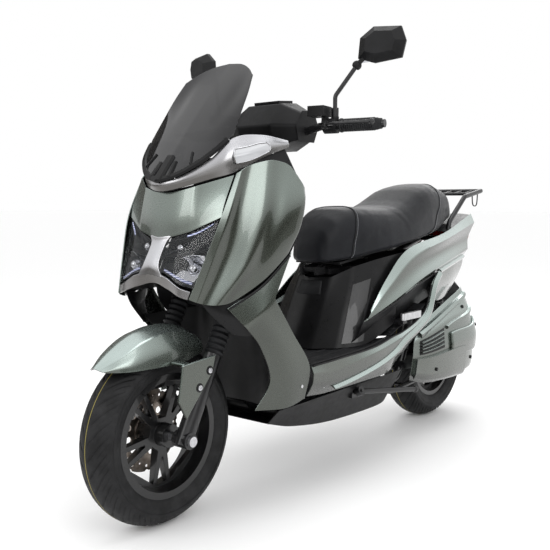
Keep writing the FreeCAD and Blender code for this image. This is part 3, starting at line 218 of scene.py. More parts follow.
def brushedMetal(name, dark, light, rough=0.3, stretch=(1, 22, 1)):
    mat = finish(name, metal=1.0, rough=rough)
    streak = noise(mat, 60.0, 6.0, stretch)
    tint(mat, streak, [(0.3, dark), (0.72, light)])
    roughen(mat, streak, rough - 0.08, rough + 0.12)
    emboss(mat, streak, 0.00004, 0.35)
    return mat


def tyreRubber():
    mat = finish("tyreRubber", rough=0.62, specular=0.25)
    dusty = noise(mat, 22.0, 8.0)
    where = mat.node_tree.nodes.new("ShaderNodeTexCoord")
    parts = mat.node_tree.nodes.new("ShaderNodeSeparateXYZ")
    mat.node_tree.links.new(where.outputs["Object"], parts.inputs[0])
    off = mat.node_tree.nodes.new("ShaderNodeMath")
    off.operation = "ABSOLUTE"
    mat.node_tree.links.new(parts.outputs["Y"], off.inputs[0])
    line = mat.node_tree.nodes.new("ShaderNodeMath")  # the thin mould line painted round the crown
    line.operation = "LESS_THAN"
    line.inputs[1].default_value = 0.0009
    mat.node_tree.links.new(off.outputs[0], line.inputs[0])
    body = mat.node_tree.nodes.new("ShaderNodeValToRGB")
    body.color_ramp.elements[0].position = 0.35
    body.color_ramp.elements[0].color = (0.006, 0.006, 0.0065, 1)
    body.color_ramp.elements[1].position = 0.75
    body.color_ramp.elements[1].color = (0.021, 0.021, 0.022, 1)
    mat.node_tree.links.new(dusty, body.inputs["Fac"])
    paint = mat.node_tree.nodes.new("ShaderNodeMix")
    paint.data_type = "RGBA"
    mat.node_tree.links.new(line.outputs[0], paint.inputs[0])
    mat.node_tree.links.new(body.outputs["Color"], paint.inputs[6])
    paint.inputs[7].default_value = (0.30, 0.25, 0.06, 1)
    mat.node_tree.links.new(paint.outputs[2], mat.node_tree.nodes["Principled BSDF"].inputs["Base Color"])
    roughen(mat, noise(mat, 130.0), 0.5, 0.74)
    emboss(mat, noise(mat, 650.0, 8.0), 0.0003, 0.5)
    return mat


def softRubber(name="ribbedRubber"):
    mat = finish(name, rough=0.58, specular=0.22)
    tint(mat, noise(mat, 40.0, 6.0), [(0.3, (0.007, 0.0072, 0.008)), (0.75, (0.018, 0.0185, 0.020))])
    roughen(mat, noise(mat, 120.0), 0.48, 0.7)
    emboss(mat, noise(mat, 520.0, 6.0), 0.00025, 0.5)
    return mat


def seatHide():
    mat = finish("grainedLeatherette", rough=0.5, specular=0.2)
    mat.node_tree.nodes["Principled BSDF"].inputs["Sheen Weight"].default_value = 0.05
    mat.node_tree.nodes["Principled BSDF"].inputs["Sheen Roughness"].default_value = 0.45
    tint(mat, noise(mat, 9.0, 6.0), [(0.3, (0.007, 0.0075, 0.0095)), (0.75, (0.013, 0.014, 0.017))])
    roughen(mat, noise(mat, 70.0, 6.0), 0.38, 0.54)
    first = emboss(mat, cells(mat, 620.0, "DISTANCE_TO_EDGE"), 0.0005, 0.55)
    emboss(mat, noise(mat, 60.0, 5.0), 0.0006, 0.3, first)
    return mat


def thread(name, light):
    mat = finish(name, rough=0.7)
    tint(mat, waves(mat, 420.0, "DIAGONAL"), [(0.2, tuple(c * 0.6 for c in light)), (0.8, light)])
    emboss(mat, waves(mat, 420.0, "DIAGONAL"), 0.0003, 0.6)
    return mat


def carbonWeave():
    mat = finish("carbonWeavePlastic", rough=0.3, coat=0.6)
    one = waves(mat, 95.0, "X", (1, 1, 1))
    two = waves(mat, 95.0, "Z", (1, 1, 1))
    twill = mix(mat, one, two, "SUBTRACT")
    tint(mat, twill, [(0.1, (0.004, 0.004, 0.0045)), (0.6, (0.018, 0.018, 0.020))])
    emboss(mat, twill, 0.0003, 0.5)
    return mat


def smokeScreen():
    mat = finish("smokeTintedScreen", rough=0.05, coat=0.3, specular=0.45, alpha=0.92)
    tint(mat, noise(mat, 3.0), [(0.3, (0.004, 0.004, 0.005)), (0.8, (0.009, 0.009, 0.011))])
    roughen(mat, noise(mat, 25.0), 0.03, 0.08)
    return mat


def clearLens(name, tone, alpha):
    mat = finish(name, rough=0.06, coat=0.5, specular=0.7, alpha=alpha)
    tint(mat, noise(mat, 12.0), [(0.3, tuple(c * 0.92 for c in tone)), (0.75, tone)])
    roughen(mat, noise(mat, 25.0), 0.04, 0.08)
    return mat


def glowStrip():
    mat = finish("runningLightStrip", rough=0.2, coat=0.4)
    bars = waves(mat, 70.0, "Z")
    tint(mat, bars, [(0.25, (0.10, 0.12, 0.30)), (0.75, (0.70, 0.74, 0.95))])
    emboss(mat, bars, 0.0006, 0.6)
    return mat


def redLens():
    mat = finish("redTailLens", rough=0.12, coat=0.8)
    prism = waves(mat, 55.0, "Y")
    tint(mat, prism, [(0.2, (0.22, 0.004, 0.004)), (0.8, (0.5, 0.012, 0.01))])
    emboss(mat, prism, 0.0008, 0.5)
    return mat


paint = sagePaint()
plastic = blackPlastic()
smoothPlastic = blackPlastic("satinBlackPlastic", 0.005, 0.3)
silver = satinSilver()
chrome = mirrorChrome()
smokedChrome = mirrorChrome("smokedReflector", 0.12, 0.25, 0.09)
glassMirror = mirrorChrome("mirrorGlass", 0.01, 0.03)
frameBlack = coatedSteel("blackPowderCoat", (0.008, 0.008, 0.009), 0.2)
wheelBlack = coatedSteel("satinBlackWheel", (0.005, 0.005, 0.0055), 0.2, 0.3, 0.35)
caliperBlack = coatedSteel("anodisedCaliper", (0.02, 0.02, 0.022), 0.8, 0.4, 0.0)
springBlack = coatedSteel("springCoat", (0.02, 0.02, 0.02), 0.3, 0.32, 0.5)
zincSteel = brushedMetal("zincSteel", (0.42, 0.42, 0.44), (0.68, 0.68, 0.7))
castAlloy = brushedMetal("castAlloy", (0.5, 0.5, 0.51), (0.7, 0.7, 0.71), 0.34, (1, 1, 1))
discSteel = brushedMetal("brakeDiscSteel", (0.22, 0.18, 0.15), (0.42, 0.37, 0.33), 0.34, (1, 1, 1))
rubber = tyreRubber()
ribbed = softRubber()
hide = seatHide()
stitch = thread("greyStitchThread", (0.32, 0.33, 0.35))
carbon = carbonWeave()
screenTint = smokeScreen()
headLens = clearLens("clearHeadLens", (0.05, 0.055, 0.06), 0.14)
signalLens = clearLens("signalLens", (0.55, 0.56, 0.58), 0.85)
runningLight = glowStrip()
tailRed = redLens()
displayGlass = blackPlastic("displayWindow", 0.006, 0.14)
batteryCase = blackPlastic("batteryCase", 0.05, 0.55)

slotFinish = {
    "paint": paint, "trim": silver, "black_plastic": plastic, "lens": headLens, "tail_lens": tailRed,
    "screen": screenTint, "reflector": chrome, "frame_black": frameBlack, "wheel_black": wheelBlack,
    "tyre": rubber, "disc": discSteel, "steel": zincSteel, "alloy": castAlloy, "caliper": caliperBlack,
    "rubber": ribbed, "seat": hide, "seat_plastic": plastic, "display": displayGlass, "battery": batteryCase,
    "spring": springBlack,
}
print("finishes ready")


softEdge = {"width": 0.0009, "angle": 38.0}


def softenEdges(obj, width=softEdge["width"]):
    for poly in obj.data.polygons:
        poly.use_smooth = True
    weld = obj.modifiers.new("weld", "WELD")
    weld.merge_threshold = 0.00002
    bevel = obj.modifiers.new("edge", "BEVEL")
    bevel.width = width
    bevel.segments = 2
    bevel.limit_method = "ANGLE"
    bevel.angle_limit = math.radians(softEdge["angle"])
    bevel.use_clamp_overlap = True
    obj.modifiers.new("shade", "WEIGHTED_NORMAL").keep_sharp = True


for row in frame["record"]["subparts"]:
    node = frame["nodes"][row["node"]]
    node.data.materials.clear()
    node.data.materials.append(slotFinish[row["material_slot"]])
    softenEdges(node)
print("frame pieces finished")


def piece(name, verts, faces, mat, body, slotName, nodes=(), smooth=True):
    mesh = bpy.data.meshes.new(name)
    mesh.from_pydata([tuple(v) for v in verts], [], faces)
    mesh.materials.append(mat)
    for poly in mesh.polygons:
        poly.use_smooth = smooth
    mesh.update()
    obj = bpy.data.objects.new(name, mesh)
    scene.collection.objects.link(obj)
    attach(obj, body)
    if nodes:
        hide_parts(*nodes)
    return obj


def along(points, t, sharp=()):
    last = len(points) - 1
    i = min(int(t), last - 1)
    f = t - i
    b, c = points[i], points[i + 1]
    a = points[i - 1] if i > 0 and i not in sharp else b * 2 - c
    d = points[i + 2] if i + 2 <= last and i + 1 not in sharp else c * 2 - b
    return (b * 2 + (c - a) * f + (a * 2 - b * 5 + c * 4 - d) * f ** 2
            + (b * 3 - a - c * 3 + d) * f ** 3) * 0.5


def onPanel(spec, u, v):
    line = [along(row, v, spec.get("sharpCols", ())) for row in spec["grid"]]
    return along(line, u, spec.get("sharpRows", ()))


def outward(spec, u, v):
    step = 0.02
    rows, cols = len(spec["grid"]) - 1, len(spec["grid"][0]) - 1
    du = onPanel(spec, min(u + step, rows), v) - onPanel(spec, max(u - step, 0), v)
    dv = onPanel(spec, u, min(v + step, cols)) - onPanel(spec, u, max(v - step, 0))
    normal = du.cross(dv).normalized()
    return normal if normal.dot(onPanel(spec, u, v) - spec["core"]) > 0 else -normal


def panelSpec(rows, core, middle=False, **extra):
    grid = [[Vector(p) * mm for p in row] for row in rows]
    if middle:
        grid = [[Vector((p.x, -p.y, p.z)) for p in reversed(row[1:])] + row for row in grid]
        shift = len(rows[0]) - 1
        cols = extra.get("sharpCols", ())
        extra["sharpCols"] = tuple(sorted({shift + c for c in cols} | {shift - c for c in cols}))
    return {"grid": grid, "core": Vector(core) * mm, **extra}


def sheetOf(spec, steps=7, lift=0.0, area=None):
    rows, cols = len(spec["grid"]) - 1, len(spec["grid"][0]) - 1
    u0, u1, v0, v1 = area or (0, rows, 0, cols)
    across = max(2, int((v1 - v0) * steps)) + 1
    down = max(2, int((u1 - u0) * steps)) + 1
    verts = []
    for i in range(down):
        for j in range(across):
            u = u0 + (u1 - u0) * i / (down - 1)
            v = v0 + (v1 - v0) * j / (across - 1)
            spot = onPanel(spec, u, v)
            if lift:
                spot = spot + outward(spec, u, v) * lift
            verts.append(spot)
    faces = []
    for i in range(down - 1):
        for j in range(across - 1):
            k = i * across + j
            faces.append((k, k + 1, k + across + 1, k + across))
    middleFace = faces[len(faces) // 2]
    a, b, c = (verts[n] for n in middleFace[:3])
    if (b - a).cross(c - b).dot(a - spec["core"]) < 0:
        faces = [tuple(reversed(face)) for face in faces]
    return verts, faces


def twoSides(verts, faces):
    shift = len(verts)
    other = [Vector((v.x, -v.y, v.z)) for v in verts]
    return list(verts) + other, list(faces) + [tuple(n + shift for n in reversed(face)) for face in faces]


def joinParts(chunks):
    verts, faces = [], []
    for v, f in chunks:
        shift = len(verts)
        verts += list(v)
        faces += [tuple(n + shift for n in face) for face in f]
    return verts, faces


def thicken(obj, thick, edge=0.0008):
    shell = obj.modifiers.new("thickness", "SOLIDIFY")
    shell.thickness = thick
    shell.offset = -1
    shell.use_even_offset = True
    bevel = obj.modifiers.new("edge", "BEVEL")
    bevel.width = edge
    bevel.segments = 2
    bevel.limit_method = "ANGLE"
    bevel.angle_limit = math.radians(50)
    obj.modifiers.new("shade", "WEIGHTED_NORMAL").keep_sharp = True
    return obj


def panel(name, spec, mat, body, slotName, nodes=(), both=False, thick=0.0025, steps=7):
    verts, faces = sheetOf(spec, steps)
    if both:
        verts, faces = twoSides(verts, faces)
    return thicken(piece(name, verts, faces, mat, body, slotName, nodes), thick)


def ribbonOn(spec, path, width, height, sink=0.001, taper=0.6):  # a raised strip on a panel along (u, v)
    spots = [onPanel(spec, u, v) for u, v in path]
    ups = [outward(spec, u, v) for u, v in path]
    verts, faces = [], []
    for i, (spot, up) in enumerate(zip(spots, ups)):
        way = (spots[min(i + 1, len(spots) - 1)] - spots[max(i - 1, 0)]).normalized()
        side = way.cross(up).normalized()
        w = width(i / (len(spots) - 1)) if callable(width) else width
        verts += [spot + side * (w / 2) - up * sink, spot + side * (w / 2 * taper) + up * height,
                  spot - side * (w / 2 * taper) + up * height, spot - side * (w / 2) - up * sink]
    for i in range(len(spots) - 1):
        for j in range(4):
            k = (j + 1) % 4
            faces.append((i * 4 + j, i * 4 + k, i * 4 + 4 + k, i * 4 + 4 + j))
    end = (len(spots) - 1) * 4
    faces += [(3, 2, 1, 0), (end, end + 1, end + 2, end + 3)]
    return verts, faces


def straight(a, b, count=14):
    return [(a[0] + (b[0] - a[0]) * i / count, a[1] + (b[1] - a[1]) * i / count) for i in range(count + 1)]


def ringAt(centre, normal, radius, sides):
    normal = normal.normalized()
    side = normal.cross(Vector((0, 0, 1)) if abs(normal.z) < 0.9 else Vector((1, 0, 0))).normalized()
    other = normal.cross(side)
    spots = []
    for i in range(sides):
        angle = math.tau * i / sides
        spots.append(centre + (side * math.cos(angle) + other * math.sin(angle)) * radius)
    return spots


def turned(base, axis, profile, sides=32):  # profile is (distance along the axis, radius) pairs
    verts, faces = [], []
    for step, radius in profile:
        verts += ringAt(base + axis.normalized() * step, axis, radius, sides)
    for i in range(len(profile) - 1):
        for j in range(sides):
            k = (j + 1) % sides
            faces.append((i * sides + j, i * sides + k, (i + 1) * sides + k, (i + 1) * sides + j))
    faces.append(tuple(reversed(range(sides))))
    faces.append(tuple(range((len(profile) - 1) * sides, len(profile) * sides)))
    return verts, faces


def tubeAlong(points, radius, sides=12, smooth=6):
    if smooth:
        line = [along(points, t / smooth) for t in range((len(points) - 1) * smooth + 1)]
    else:
        line = points
    verts, faces = [], []
    up = Vector((0, 0, 1))
    for i, spot in enumerate(line):
        way = (line[min(i + 1, len(line) - 1)] - line[max(i - 1, 0)]).normalized()
        side = way.cross(up)
        side = side.normalized() if side.length > 0.05 else Vector((0, 1, 0))
        other = side.cross(way).normalized()
        size = radius(i / (len(line) - 1)) if callable(radius) else radius
        for j in range(sides):
            angle = math.tau * j / sides
            verts.append(spot + (side * math.cos(angle) + other * math.sin(angle)) * size)
    for i in range(len(line) - 1):
        for j in range(sides):
            k = (j + 1) % sides
            faces.append((i * sides + j, i * sides + k, (i + 1) * sides + k, (i + 1) * sides + j))
    faces.append(tuple(reversed(range(sides))))
    faces.append(tuple(range((len(line) - 1) * sides, len(line) * sides)))
    return verts, faces


def brick(low, high):
    spots = [Vector((x, y, z)) for x in (low[0], high[0])
             for y in (low[1], high[1]) for z in (low[2], high[2])]
    return spots, [(0, 1, 3, 2), (4, 6, 7, 5), (0, 4, 5, 1), (2, 3, 7, 6), (0, 2, 6, 4), (1, 5, 7, 3)]


tyreCuts = {"blocks": 34, "columns": 12, "depth": 0.0034, "sweep": 0.34, "rows": 36,
            "crown": 74, "crownDrop": 0.036}  # tread arc in degrees, its fall at the shoulder


def tyreShape(centre, radius, width, bead):
    count = tyreCuts["blocks"] * tyreCuts["columns"]
    rows = tyreCuts["rows"]
    half = width / 2
    profile = []  # (radius, side, share across the tread or None)
    side = [(bead, 0.68), (bead + 0.005, 0.80), (bead + 0.016, 0.90), (bead + 0.022, 0.925),
            (bead + 0.024, 0.955), (bead + 0.034, 0.975), (bead + 0.037, 0.970), (radius - 0.040, 1.0)]
    for r, y in side:
        profile.append((r, -half * y, None))
    crown = math.radians(tyreCuts["crown"])
    for i in range(rows + 1):
        s = -1 + 2 * i / rows
        angle = s * crown
        y = half * math.sin(angle) / math.sin(crown)
        r = radius - tyreCuts["crownDrop"] * (1 - math.cos(angle)) / (1 - math.cos(crown))
        profile.append((r, y, s))
    for r, y in reversed(side):
        profile.append((r, half * y, None))
    for r, y in ((bead + 0.001, 0.55), (radius - 0.042, 0.86), (radius - 0.014, 0.4), (radius - 0.014, -0.4),
                 (radius - 0.042, -0.86), (bead + 0.001, -0.55)):
        profile.append((r, half * y, None))
    verts, faces = [], []
    columns = tyreCuts["columns"]
    for r, y, s in profile:
        share = min(abs(y) / half, 1.0)
        shear = tyreCuts["sweep"] * share ** 1.35
        for i in range(count):
            depth = 0.0
            if s is not None:
                k = (i + (columns // 2 if s > 0 else 0)) % columns
                if k in (0, 1) and 0.14 < abs(s) < 0.80:
                    depth = tyreCuts["depth"]
                elif k in (6,) and 0.46 < abs(s) < 0.93:
                    depth = tyreCuts["depth"] * 0.8
            angle = math.tau * i / count + shear
            far = r - depth
            verts.append(centre + Vector((far * math.cos(angle), y, far * math.sin(angle))))
    rings = len(profile)
    for a in range(rings):
        b = (a + 1) % rings
        for i in range(count):
            j = (i + 1) % count
            faces.append((a * count + i, a * count + j, b * count + j, b * count + i))
    return verts, faces


tyreSizes = {"front": (0.232, 0.110, 0.1565), "rear": (0.236, 0.120, 0.1565)}  # radius, width, bead
piece("frontTyre", *tyreShape(frontAxle, *tyreSizes["front"]), rubber, "front_wheel", "tyre", ["front_tyre"])
piece("rearTyre", *tyreShape(rearAxle, *tyreSizes["rear"]), rubber, "rear_wheel", "tyre", ["rear_tyre"])
print("tyres cut")


axleX, axleZ = 710, 232  # front axle in mm


def fenderSpec():
    crown = [(202, 200), (150, 236), (90, 266), (25, 281), (-50, 276), (-108, 250)]
    shoulder = [(198, 14, 196), (146, 38, 223), (87, 46, 252), (23, 50, 266), (-50, 50, 260), (-106, 46, 236)]
    edge = [(190, 26, 190), (140, 56, 188), (80, 68, 188), (18, 72, 188), (-43, 67, 191), (-98, 62, 205)]
    rows = []
    for (cx, cz), (sx, sy, sz), (ex, ey, ez) in zip(crown, shoulder, edge):
        knee = (0.45 * sx + 0.55 * ex, 0.5 * (sy + ey) + 3.5, 0.5 * (sz + ez))
        rows.append([(axleX + cx, 0, axleZ + cz), (axleX + sx, sy, axleZ + sz),
                     (axleX + knee[0], knee[1], axleZ + knee[2]), (axleX + ex, ey, axleZ + ez)])
    return panelSpec(rows, (axleX, 0, axleZ), middle=True, sharpCols=(1,))


def bracketPlates():
    outline = [(-82, 206), (32, 196), (48, 106), (22, 60), (-70, 163)]
    plates, recess, bolts = [], [], []
    inner, outer = 0.118, 0.126
    for side in (1, -1):
        ring = [Vector((axleX + x, 0, axleZ + z)) * mm for x, z in outline]
        low = [Vector((p.x, side * inner, p.z)) for p in ring]
        high = [Vector((p.x, side * outer, p.z)) for p in ring]
        count = len(ring)
        walls = [(j, (j + 1) % count, count + (j + 1) % count, count + j) for j in range(count)]
        shape = walls + [tuple(reversed(range(count))), tuple(range(count, 2 * count))]
        plates.append((low + high, shape if side > 0 else [tuple(reversed(f)) for f in shape]))
        near, far = sorted((side * 0.0722, side * 0.119))  # from the fork leg out to the plate
        plates.append(brick((0.710, near, 0.420), (0.734, far, 0.429)))
        for x, z in ((-58, 170), (-22, 132)):
            spot = Vector((axleX + x, side * 125.6, axleZ + z)) * mm
            out = Vector((0, side, 0))
            recess.append(turned(spot, out, [(0, 0.0115), (0.0012, 0.0115), (0.0014, 0.0085)], 24))
            bolts.append(turned(spot, out, [(0, 0.0072), (0.0040, 0.0072), (0.0048, 0.0062),
                                            (0.0049, 0.0035), (0.0030, 0.0033)], 24))
    plate = piece("bracketPlates", *joinParts(plates), paint, "fork_lower", "paint", ["fender_brackets"])
    bevel = plate.modifiers.new("edge", "BEVEL")
    bevel.width = 0.003
    bevel.segments = 3
    bevel.limit_method = "ANGLE"
    plate.modifiers.new("shade", "WEIGHTED_NORMAL").keep_sharp = True
    dish = piece("bracketRecesses", *joinParts(recess), smoothPlastic, "fork_lower", "black_plastic")
    softenEdges(dish, 0.0002)
    softenEdges(piece("bracketBolts", *joinParts(bolts), zincSteel, "fork_lower", "steel"), 0.0003)


bracketPlates()
panel("frontFender", fenderSpec(), paint, "fork_lower", "paint", ["front_fender"], thick=0.003, steps=8)


noseCore = (470, 0, 700)
hoodSpec = panelSpec([
    [(700, 0, 728), (694, 46, 735), (682, 92, 747), (650, 167, 783)],
    [(692, 0, 780), (688, 46, 783), (676, 92, 793), (636, 167, 822)],
    [(678, 0, 844), (674, 46, 848), (662, 92, 859), (606, 169, 886)],
], noseCore, middle=True, sharpCols=(2,))
panel("bonnet", hoodSpec, paint, "chassis", "paint", ["hood"])

wingSpec = panelSpec([
    [(727, 130, 586), (712, 143, 578), (690, 153, 572), (664, 172, 570), (622, 183, 578),
     (545, 214, 626), (473, 229, 684), (458, 226, 697)],
    [(693, 152, 682), (678, 163, 674), (642, 171, 668), (606, 205, 664), (566, 212, 672),
     (512, 230, 706), (442, 242, 748), (426, 236, 758)],
    [(654, 171, 785), (640, 181, 784), (602, 184, 783), (560, 216, 785), (520, 224, 791),
     (480, 238, 802), (424, 245, 816), (409, 239, 820)],
    [(600, 172, 890), (588, 179, 898), (556, 180, 912), (516, 202, 924), (482, 210, 924),
     (448, 220, 912), (420, 234, 874), (408, 236, 858)],
], noseCore, sharpCols=(1,))
shieldSpec = panelSpec([
    [(640, 176, 560), (548, 214, 616), (456, 232, 692)],
    [(598, 201, 508), (558, 222, 545), (520, 229, 577)],
    [(548, 205, 452), (500, 226, 468), (450, 233, 480)],
    [(508, 203, 360), (450, 224, 370), (378, 233, 382)],
    [(540, 178, 284), (450, 208, 278), (378, 216, 292)],
], noseCore, sharpRows=(1,))
panel("sideWings", wingSpec, paint, "chassis", "paint", ["front_side_panels"], both=True)
panel("legShields", shieldSpec, paint, "chassis", "paint", both=True)

backingSpec = panelSpec([
    [(712, 132, 592), (672, 156, 574), (612, 176, 584)],
    [(680, 146, 684), (632, 172, 668), (572, 198, 670)],
    [(640, 160, 783), (594, 184, 782), (536, 206, 788)],
    [(590, 160, 884), (548, 174, 904), (494, 188, 920)],
], noseCore)
panel("wingBacking", backingSpec, smoothPlastic, "chassis", "black_plastic", both=True)
surroundSpec = panelSpec([
    [(676, 0, 850), (660, 60, 858), (622, 112, 876), (584, 152, 894), (505, 182, 934), (430, 188, 958)],
    [(668, 0, 838), (652, 60, 846), (610, 116, 866), (572, 158, 886), (494, 192, 922), (414, 226, 872)],
], noseCore, middle=True)
panel("dashSurround", surroundSpec, smoothPlastic, "chassis", "black_plastic")

grooveLine = ribbonOn(shieldSpec, straight((0.06, 0.02), (0.04, 1.96), 24), 0.008, 0.0008)
piece("wingGroove", *twoSides(*grooveLine), smoothPlastic, "chassis", "black_plastic")


archSpec = panelSpec([
    [(721, 0, 619), (728, 62, 605), (733, 100, 592), (726, 124, 585)],
    [(733, 0, 648), (735, 62, 634), (733, 100, 614), (722, 130, 604)],
], noseCore, middle=True, sharpCols=(1,))
columnSpec = panelSpec([
    [(736, 0, 640), (735, 44, 634)],
    [(733, 0, 668), (729, 27, 668)],
    [(708, 0, 716), (704, 26, 716)],
    [(703, 0, 733), (694, 40, 738)],
], noseCore, middle=True)
trimSpec = panelSpec([
    [(692, 0, 846), (676, 60, 856), (634, 118, 876), (590, 160, 894), (505, 188, 936), (424, 197, 962)],
    [(700, 0, 858), (682, 60, 870), (642, 118, 898), (596, 158, 934), (512, 186, 962), (424, 197, 971)],
    [(700, 0, 868), (680, 60, 884), (638, 114, 922), (585, 148, 978), (505, 172, 990), (420, 190, 980)],
], noseCore, middle=True)
chinSpec = panelSpec([
    [(700, 134, 590), (630, 168, 578), (560, 206, 588)],
    [(672, 146, 548), (622, 178, 534), (566, 212, 540)],
    [(612, 164, 492), (592, 184, 486), (556, 204, 486)],
], (500, 0, 540))
panel("chinSides", chinSpec, smoothPlastic, "chassis", "black_plastic", both=True)
linerSpec = panelSpec([
    [(716, 0, 625), (712, 60, 611), (702, 118, 592)],
    [(620, 0, 622), (620, 70, 612), (620, 156, 584)],
    [(505, 0, 622), (505, 80, 618), (524, 190, 580)],
], (600, 0, 900), middle=True)
panel("noseLiner", linerSpec, smoothPlastic, "chassis", "black_plastic")
panel("noseArch", archSpec, silver, "chassis", "trim", ["front_trim"], thick=0.004)
panel("noseColumn", columnSpec, silver, "chassis", "trim", thick=0.006)
panel("screenTrim", trimSpec, silver, "chassis", "trim", thick=0.003)

lensSpec = panelSpec([
    [(731, 30, 652), (733, 64, 640), (730, 100, 621), (717, 134, 612)],
    [(717, 26, 690), (716, 64, 694), (706, 106, 690), (686, 149, 688)],
    [(702, 28, 726), (692, 58, 736), (680, 98, 748), (650, 160, 778)],
], noseCore)
bowlSpec = panelSpec([
    [(722, 20, 650), (724, 64, 638), (720, 100, 624), (708, 132, 616)],
    [(640, 24, 690), (636, 64, 690), (632, 106, 690), (630, 138, 696)],
    [(692, 20, 720), (682, 58, 730), (670, 98, 742), (642, 150, 770)],
], (900, 80, 690))
panel("headlightGlass", lensSpec, headLens, "chassis", "lens", ["front_lenses"], both=True, thick=0.002)
panel("headlightBowls", bowlSpec, smoothPlastic, "chassis", "black_plastic", ["headlight_housing"],
      both=True, thick=0.002)


def headlightInsides():
    reflector = panelSpec([
        [(716, 74, 640), (712, 104, 630), (704, 126, 626)],
        [(676, 84, 668), (668, 106, 664), (672, 134, 660)],
        [(700, 82, 684), (690, 110, 692), (680, 140, 690)],
    ], (900, 100, 660), sharpRows=(1,), sharpCols=(1,))
    upper = panelSpec([
        [(708, 30, 690), (696, 60, 700), (676, 96, 706)],
        [(670, 34, 704), (662, 60, 708), (652, 94, 716)],
        [(688, 30, 710), (674, 58, 717), (656, 92, 727)],
    ], (900, 60, 700), sharpRows=(1,))
    fin = panelSpec([
        [(714, 30, 684), (708, 60, 688), (694, 100, 692), (674, 142, 706)],
        [(664, 34, 696), (660, 60, 697), (652, 100, 700), (644, 138, 712)],
    ], (680, 60, 100))
    lowStrip = panelSpec([
        [(727, 44, 651), (729, 64, 645), (724, 98, 630), (713, 126, 620)],
        [(726, 44, 657), (727, 64, 651), (722, 98, 636), (711, 127, 626)],
    ], noseCore)
    topStrip = panelSpec([
        [(697, 96, 735), (679, 120, 746), (661, 147, 765)],
        [(695, 96, 739), (676, 120, 750), (657, 149, 769)],
    ], noseCore)
    panel("lowBeamReflector", reflector, chrome, "chassis", "reflector", both=True, thick=0.0015)
    panel("highBeamReflector", upper, smokedChrome, "chassis", "reflector", both=True, thick=0.0015)
    panel("headlightFin", fin, smoothPlastic, "chassis", "black_plastic", both=True, thick=0.002)
    panel("lowRunningLight", lowStrip, runningLight, "chassis", "reflector", both=True, thick=0.002)
    panel("topRunningLight", topStrip, runningLight, "chassis", "reflector", both=True, thick=0.002)
    for name, spot, way, size in (("lowLamp", (690, 108, 656), (1, 0.25, -0.1), 0.013),
                                  ("highLamp", (684, 60, 706), (1, 0.2, 0.1), 0.011)):
        dome = [(-0.012, size), (0, size), (0.004, size * 0.9), (0.008, size * 0.5), (0.0095, size * 0.05)]
        bulb = turned(Vector(spot) * mm, Vector(way), dome, 24)
        thicken(piece(name, *twoSides(*bulb), chrome, "chassis", "reflector"), 0.0004, 0.0002)


headlightInsides()

signalSpec = panelSpec([
    [(594, 164, 914), (560, 178, 922), (530, 188, 934), (500, 196, 948)],
    [(600, 164, 932), (560, 182, 942), (528, 190, 952), (496, 194, 960)],
    [(590, 158, 950), (556, 172, 958), (528, 180, 966), (500, 186, 970)],
], noseCore)
panel("turnSignals", signalSpec, signalLens, "chassis", "lens", both=True, thick=0.006)
signalRim = joinParts([ribbonOn(signalSpec, straight((0, 0), (0, 3), 16), 0.004, 0.0015),
                       ribbonOn(signalSpec, straight((2, 0), (2, 3), 16), 0.004, 0.0015),
                       ribbonOn(signalSpec, straight((0, 0), (2, 0), 8), 0.004, 0.0015),
                       ribbonOn(signalSpec, straight((0, 3), (2, 3), 8), 0.004, 0.0015)])
piece("signalRims", *twoSides(*signalRim), silver, "chassis", "trim")
print("nose built")


screenSpec = panelSpec([
    [(705, 0, 873), (686, 60, 890), (644, 115, 931), (584, 149, 988)],
    [(636, 0, 958), (620, 60, 973), (590, 102, 1004), (552, 142, 1040)],
    [(545, 0, 1068), (535, 58, 1077), (518, 96, 1092), (514, 134, 1100)],
    [(437, 0, 1194), (445, 52, 1187), (462, 92, 1170), (482, 122, 1148)],
], noseCore, middle=True, sharpCols=(0,))


def windscreen():
    panel("smokeScreen", screenSpec, screenTint, "chassis", "screen", ["windscreen"], thick=0.003, steps=9)
    strips = [ribbonOn(screenSpec, straight((0.02, 0.25), (0.02, 5.75), 40), 0.016, 0.003),
              ribbonOn(screenSpec, straight((0.0, 3.0), (0.75, 3.0), 12), 0.026, 0.005, taper=0.75)]
    for side in (-1, 1):
        inner = straight((0.0, 3 + side * 0.55), (0.5, 3 + side * 0.42), 10)
        outer = straight((0.12, 3 + side * 1.35), (0.62, 3 + side * 1.1), 10)
        strips.append(ribbonOn(screenSpec, inner, 0.012, 0.004))
        strips.append(ribbonOn(screenSpec, outer, 0.006, 0.003))
    feet = piece("screenStrips", *joinParts(strips), smoothPlastic, "chassis", "black_plastic")
    thicken(feet, 0.0005, 0.0003)


windscreen()


shroudSpec = panelSpec([
    [(446, 0, 520), (446, 70, 520), (452, 135, 520), (584, 190, 508)],
    [(432, 0, 440), (434, 70, 440), (446, 135, 440), (536, 194, 448)],
    [(425, 0, 350), (427, 70, 350), (445, 135, 350), (498, 192, 358)],
    [(425, 0, 268), (428, 70, 268), (452, 135, 270), (524, 170, 284)],
], (-3000, 0, 400), middle=True)
panel("innerShroud", shroudSpec, plastic, "chassis", "black_plastic", ["front_inner_shroud"])

innerSpec = panelSpec([
    [(266, 0, 912), (283, 80, 909), (348, 150, 900), (404, 226, 850)],
    [(322, 0, 770), (334, 80, 768), (384, 160, 760), (424, 232, 746)],
    [(390, 0, 610), (398, 80, 608), (440, 160, 595), (512, 220, 580)],
    [(356, 0, 480), (366, 80, 480), (398, 160, 478), (444, 226, 478)],
    [(336, 0, 388), (343, 80, 388), (350, 160, 388), (370, 222, 390)],
], (700, 0, 700), middle=True)
dashSpec = panelSpec([
    [(264, 0, 919), (281, 80, 916), (346, 150, 908), (402, 220, 866)],
    [(480, 0, 940), (480, 60, 940), (478, 120, 938), (470, 170, 928)],
], (480, 0, 600), middle=True)


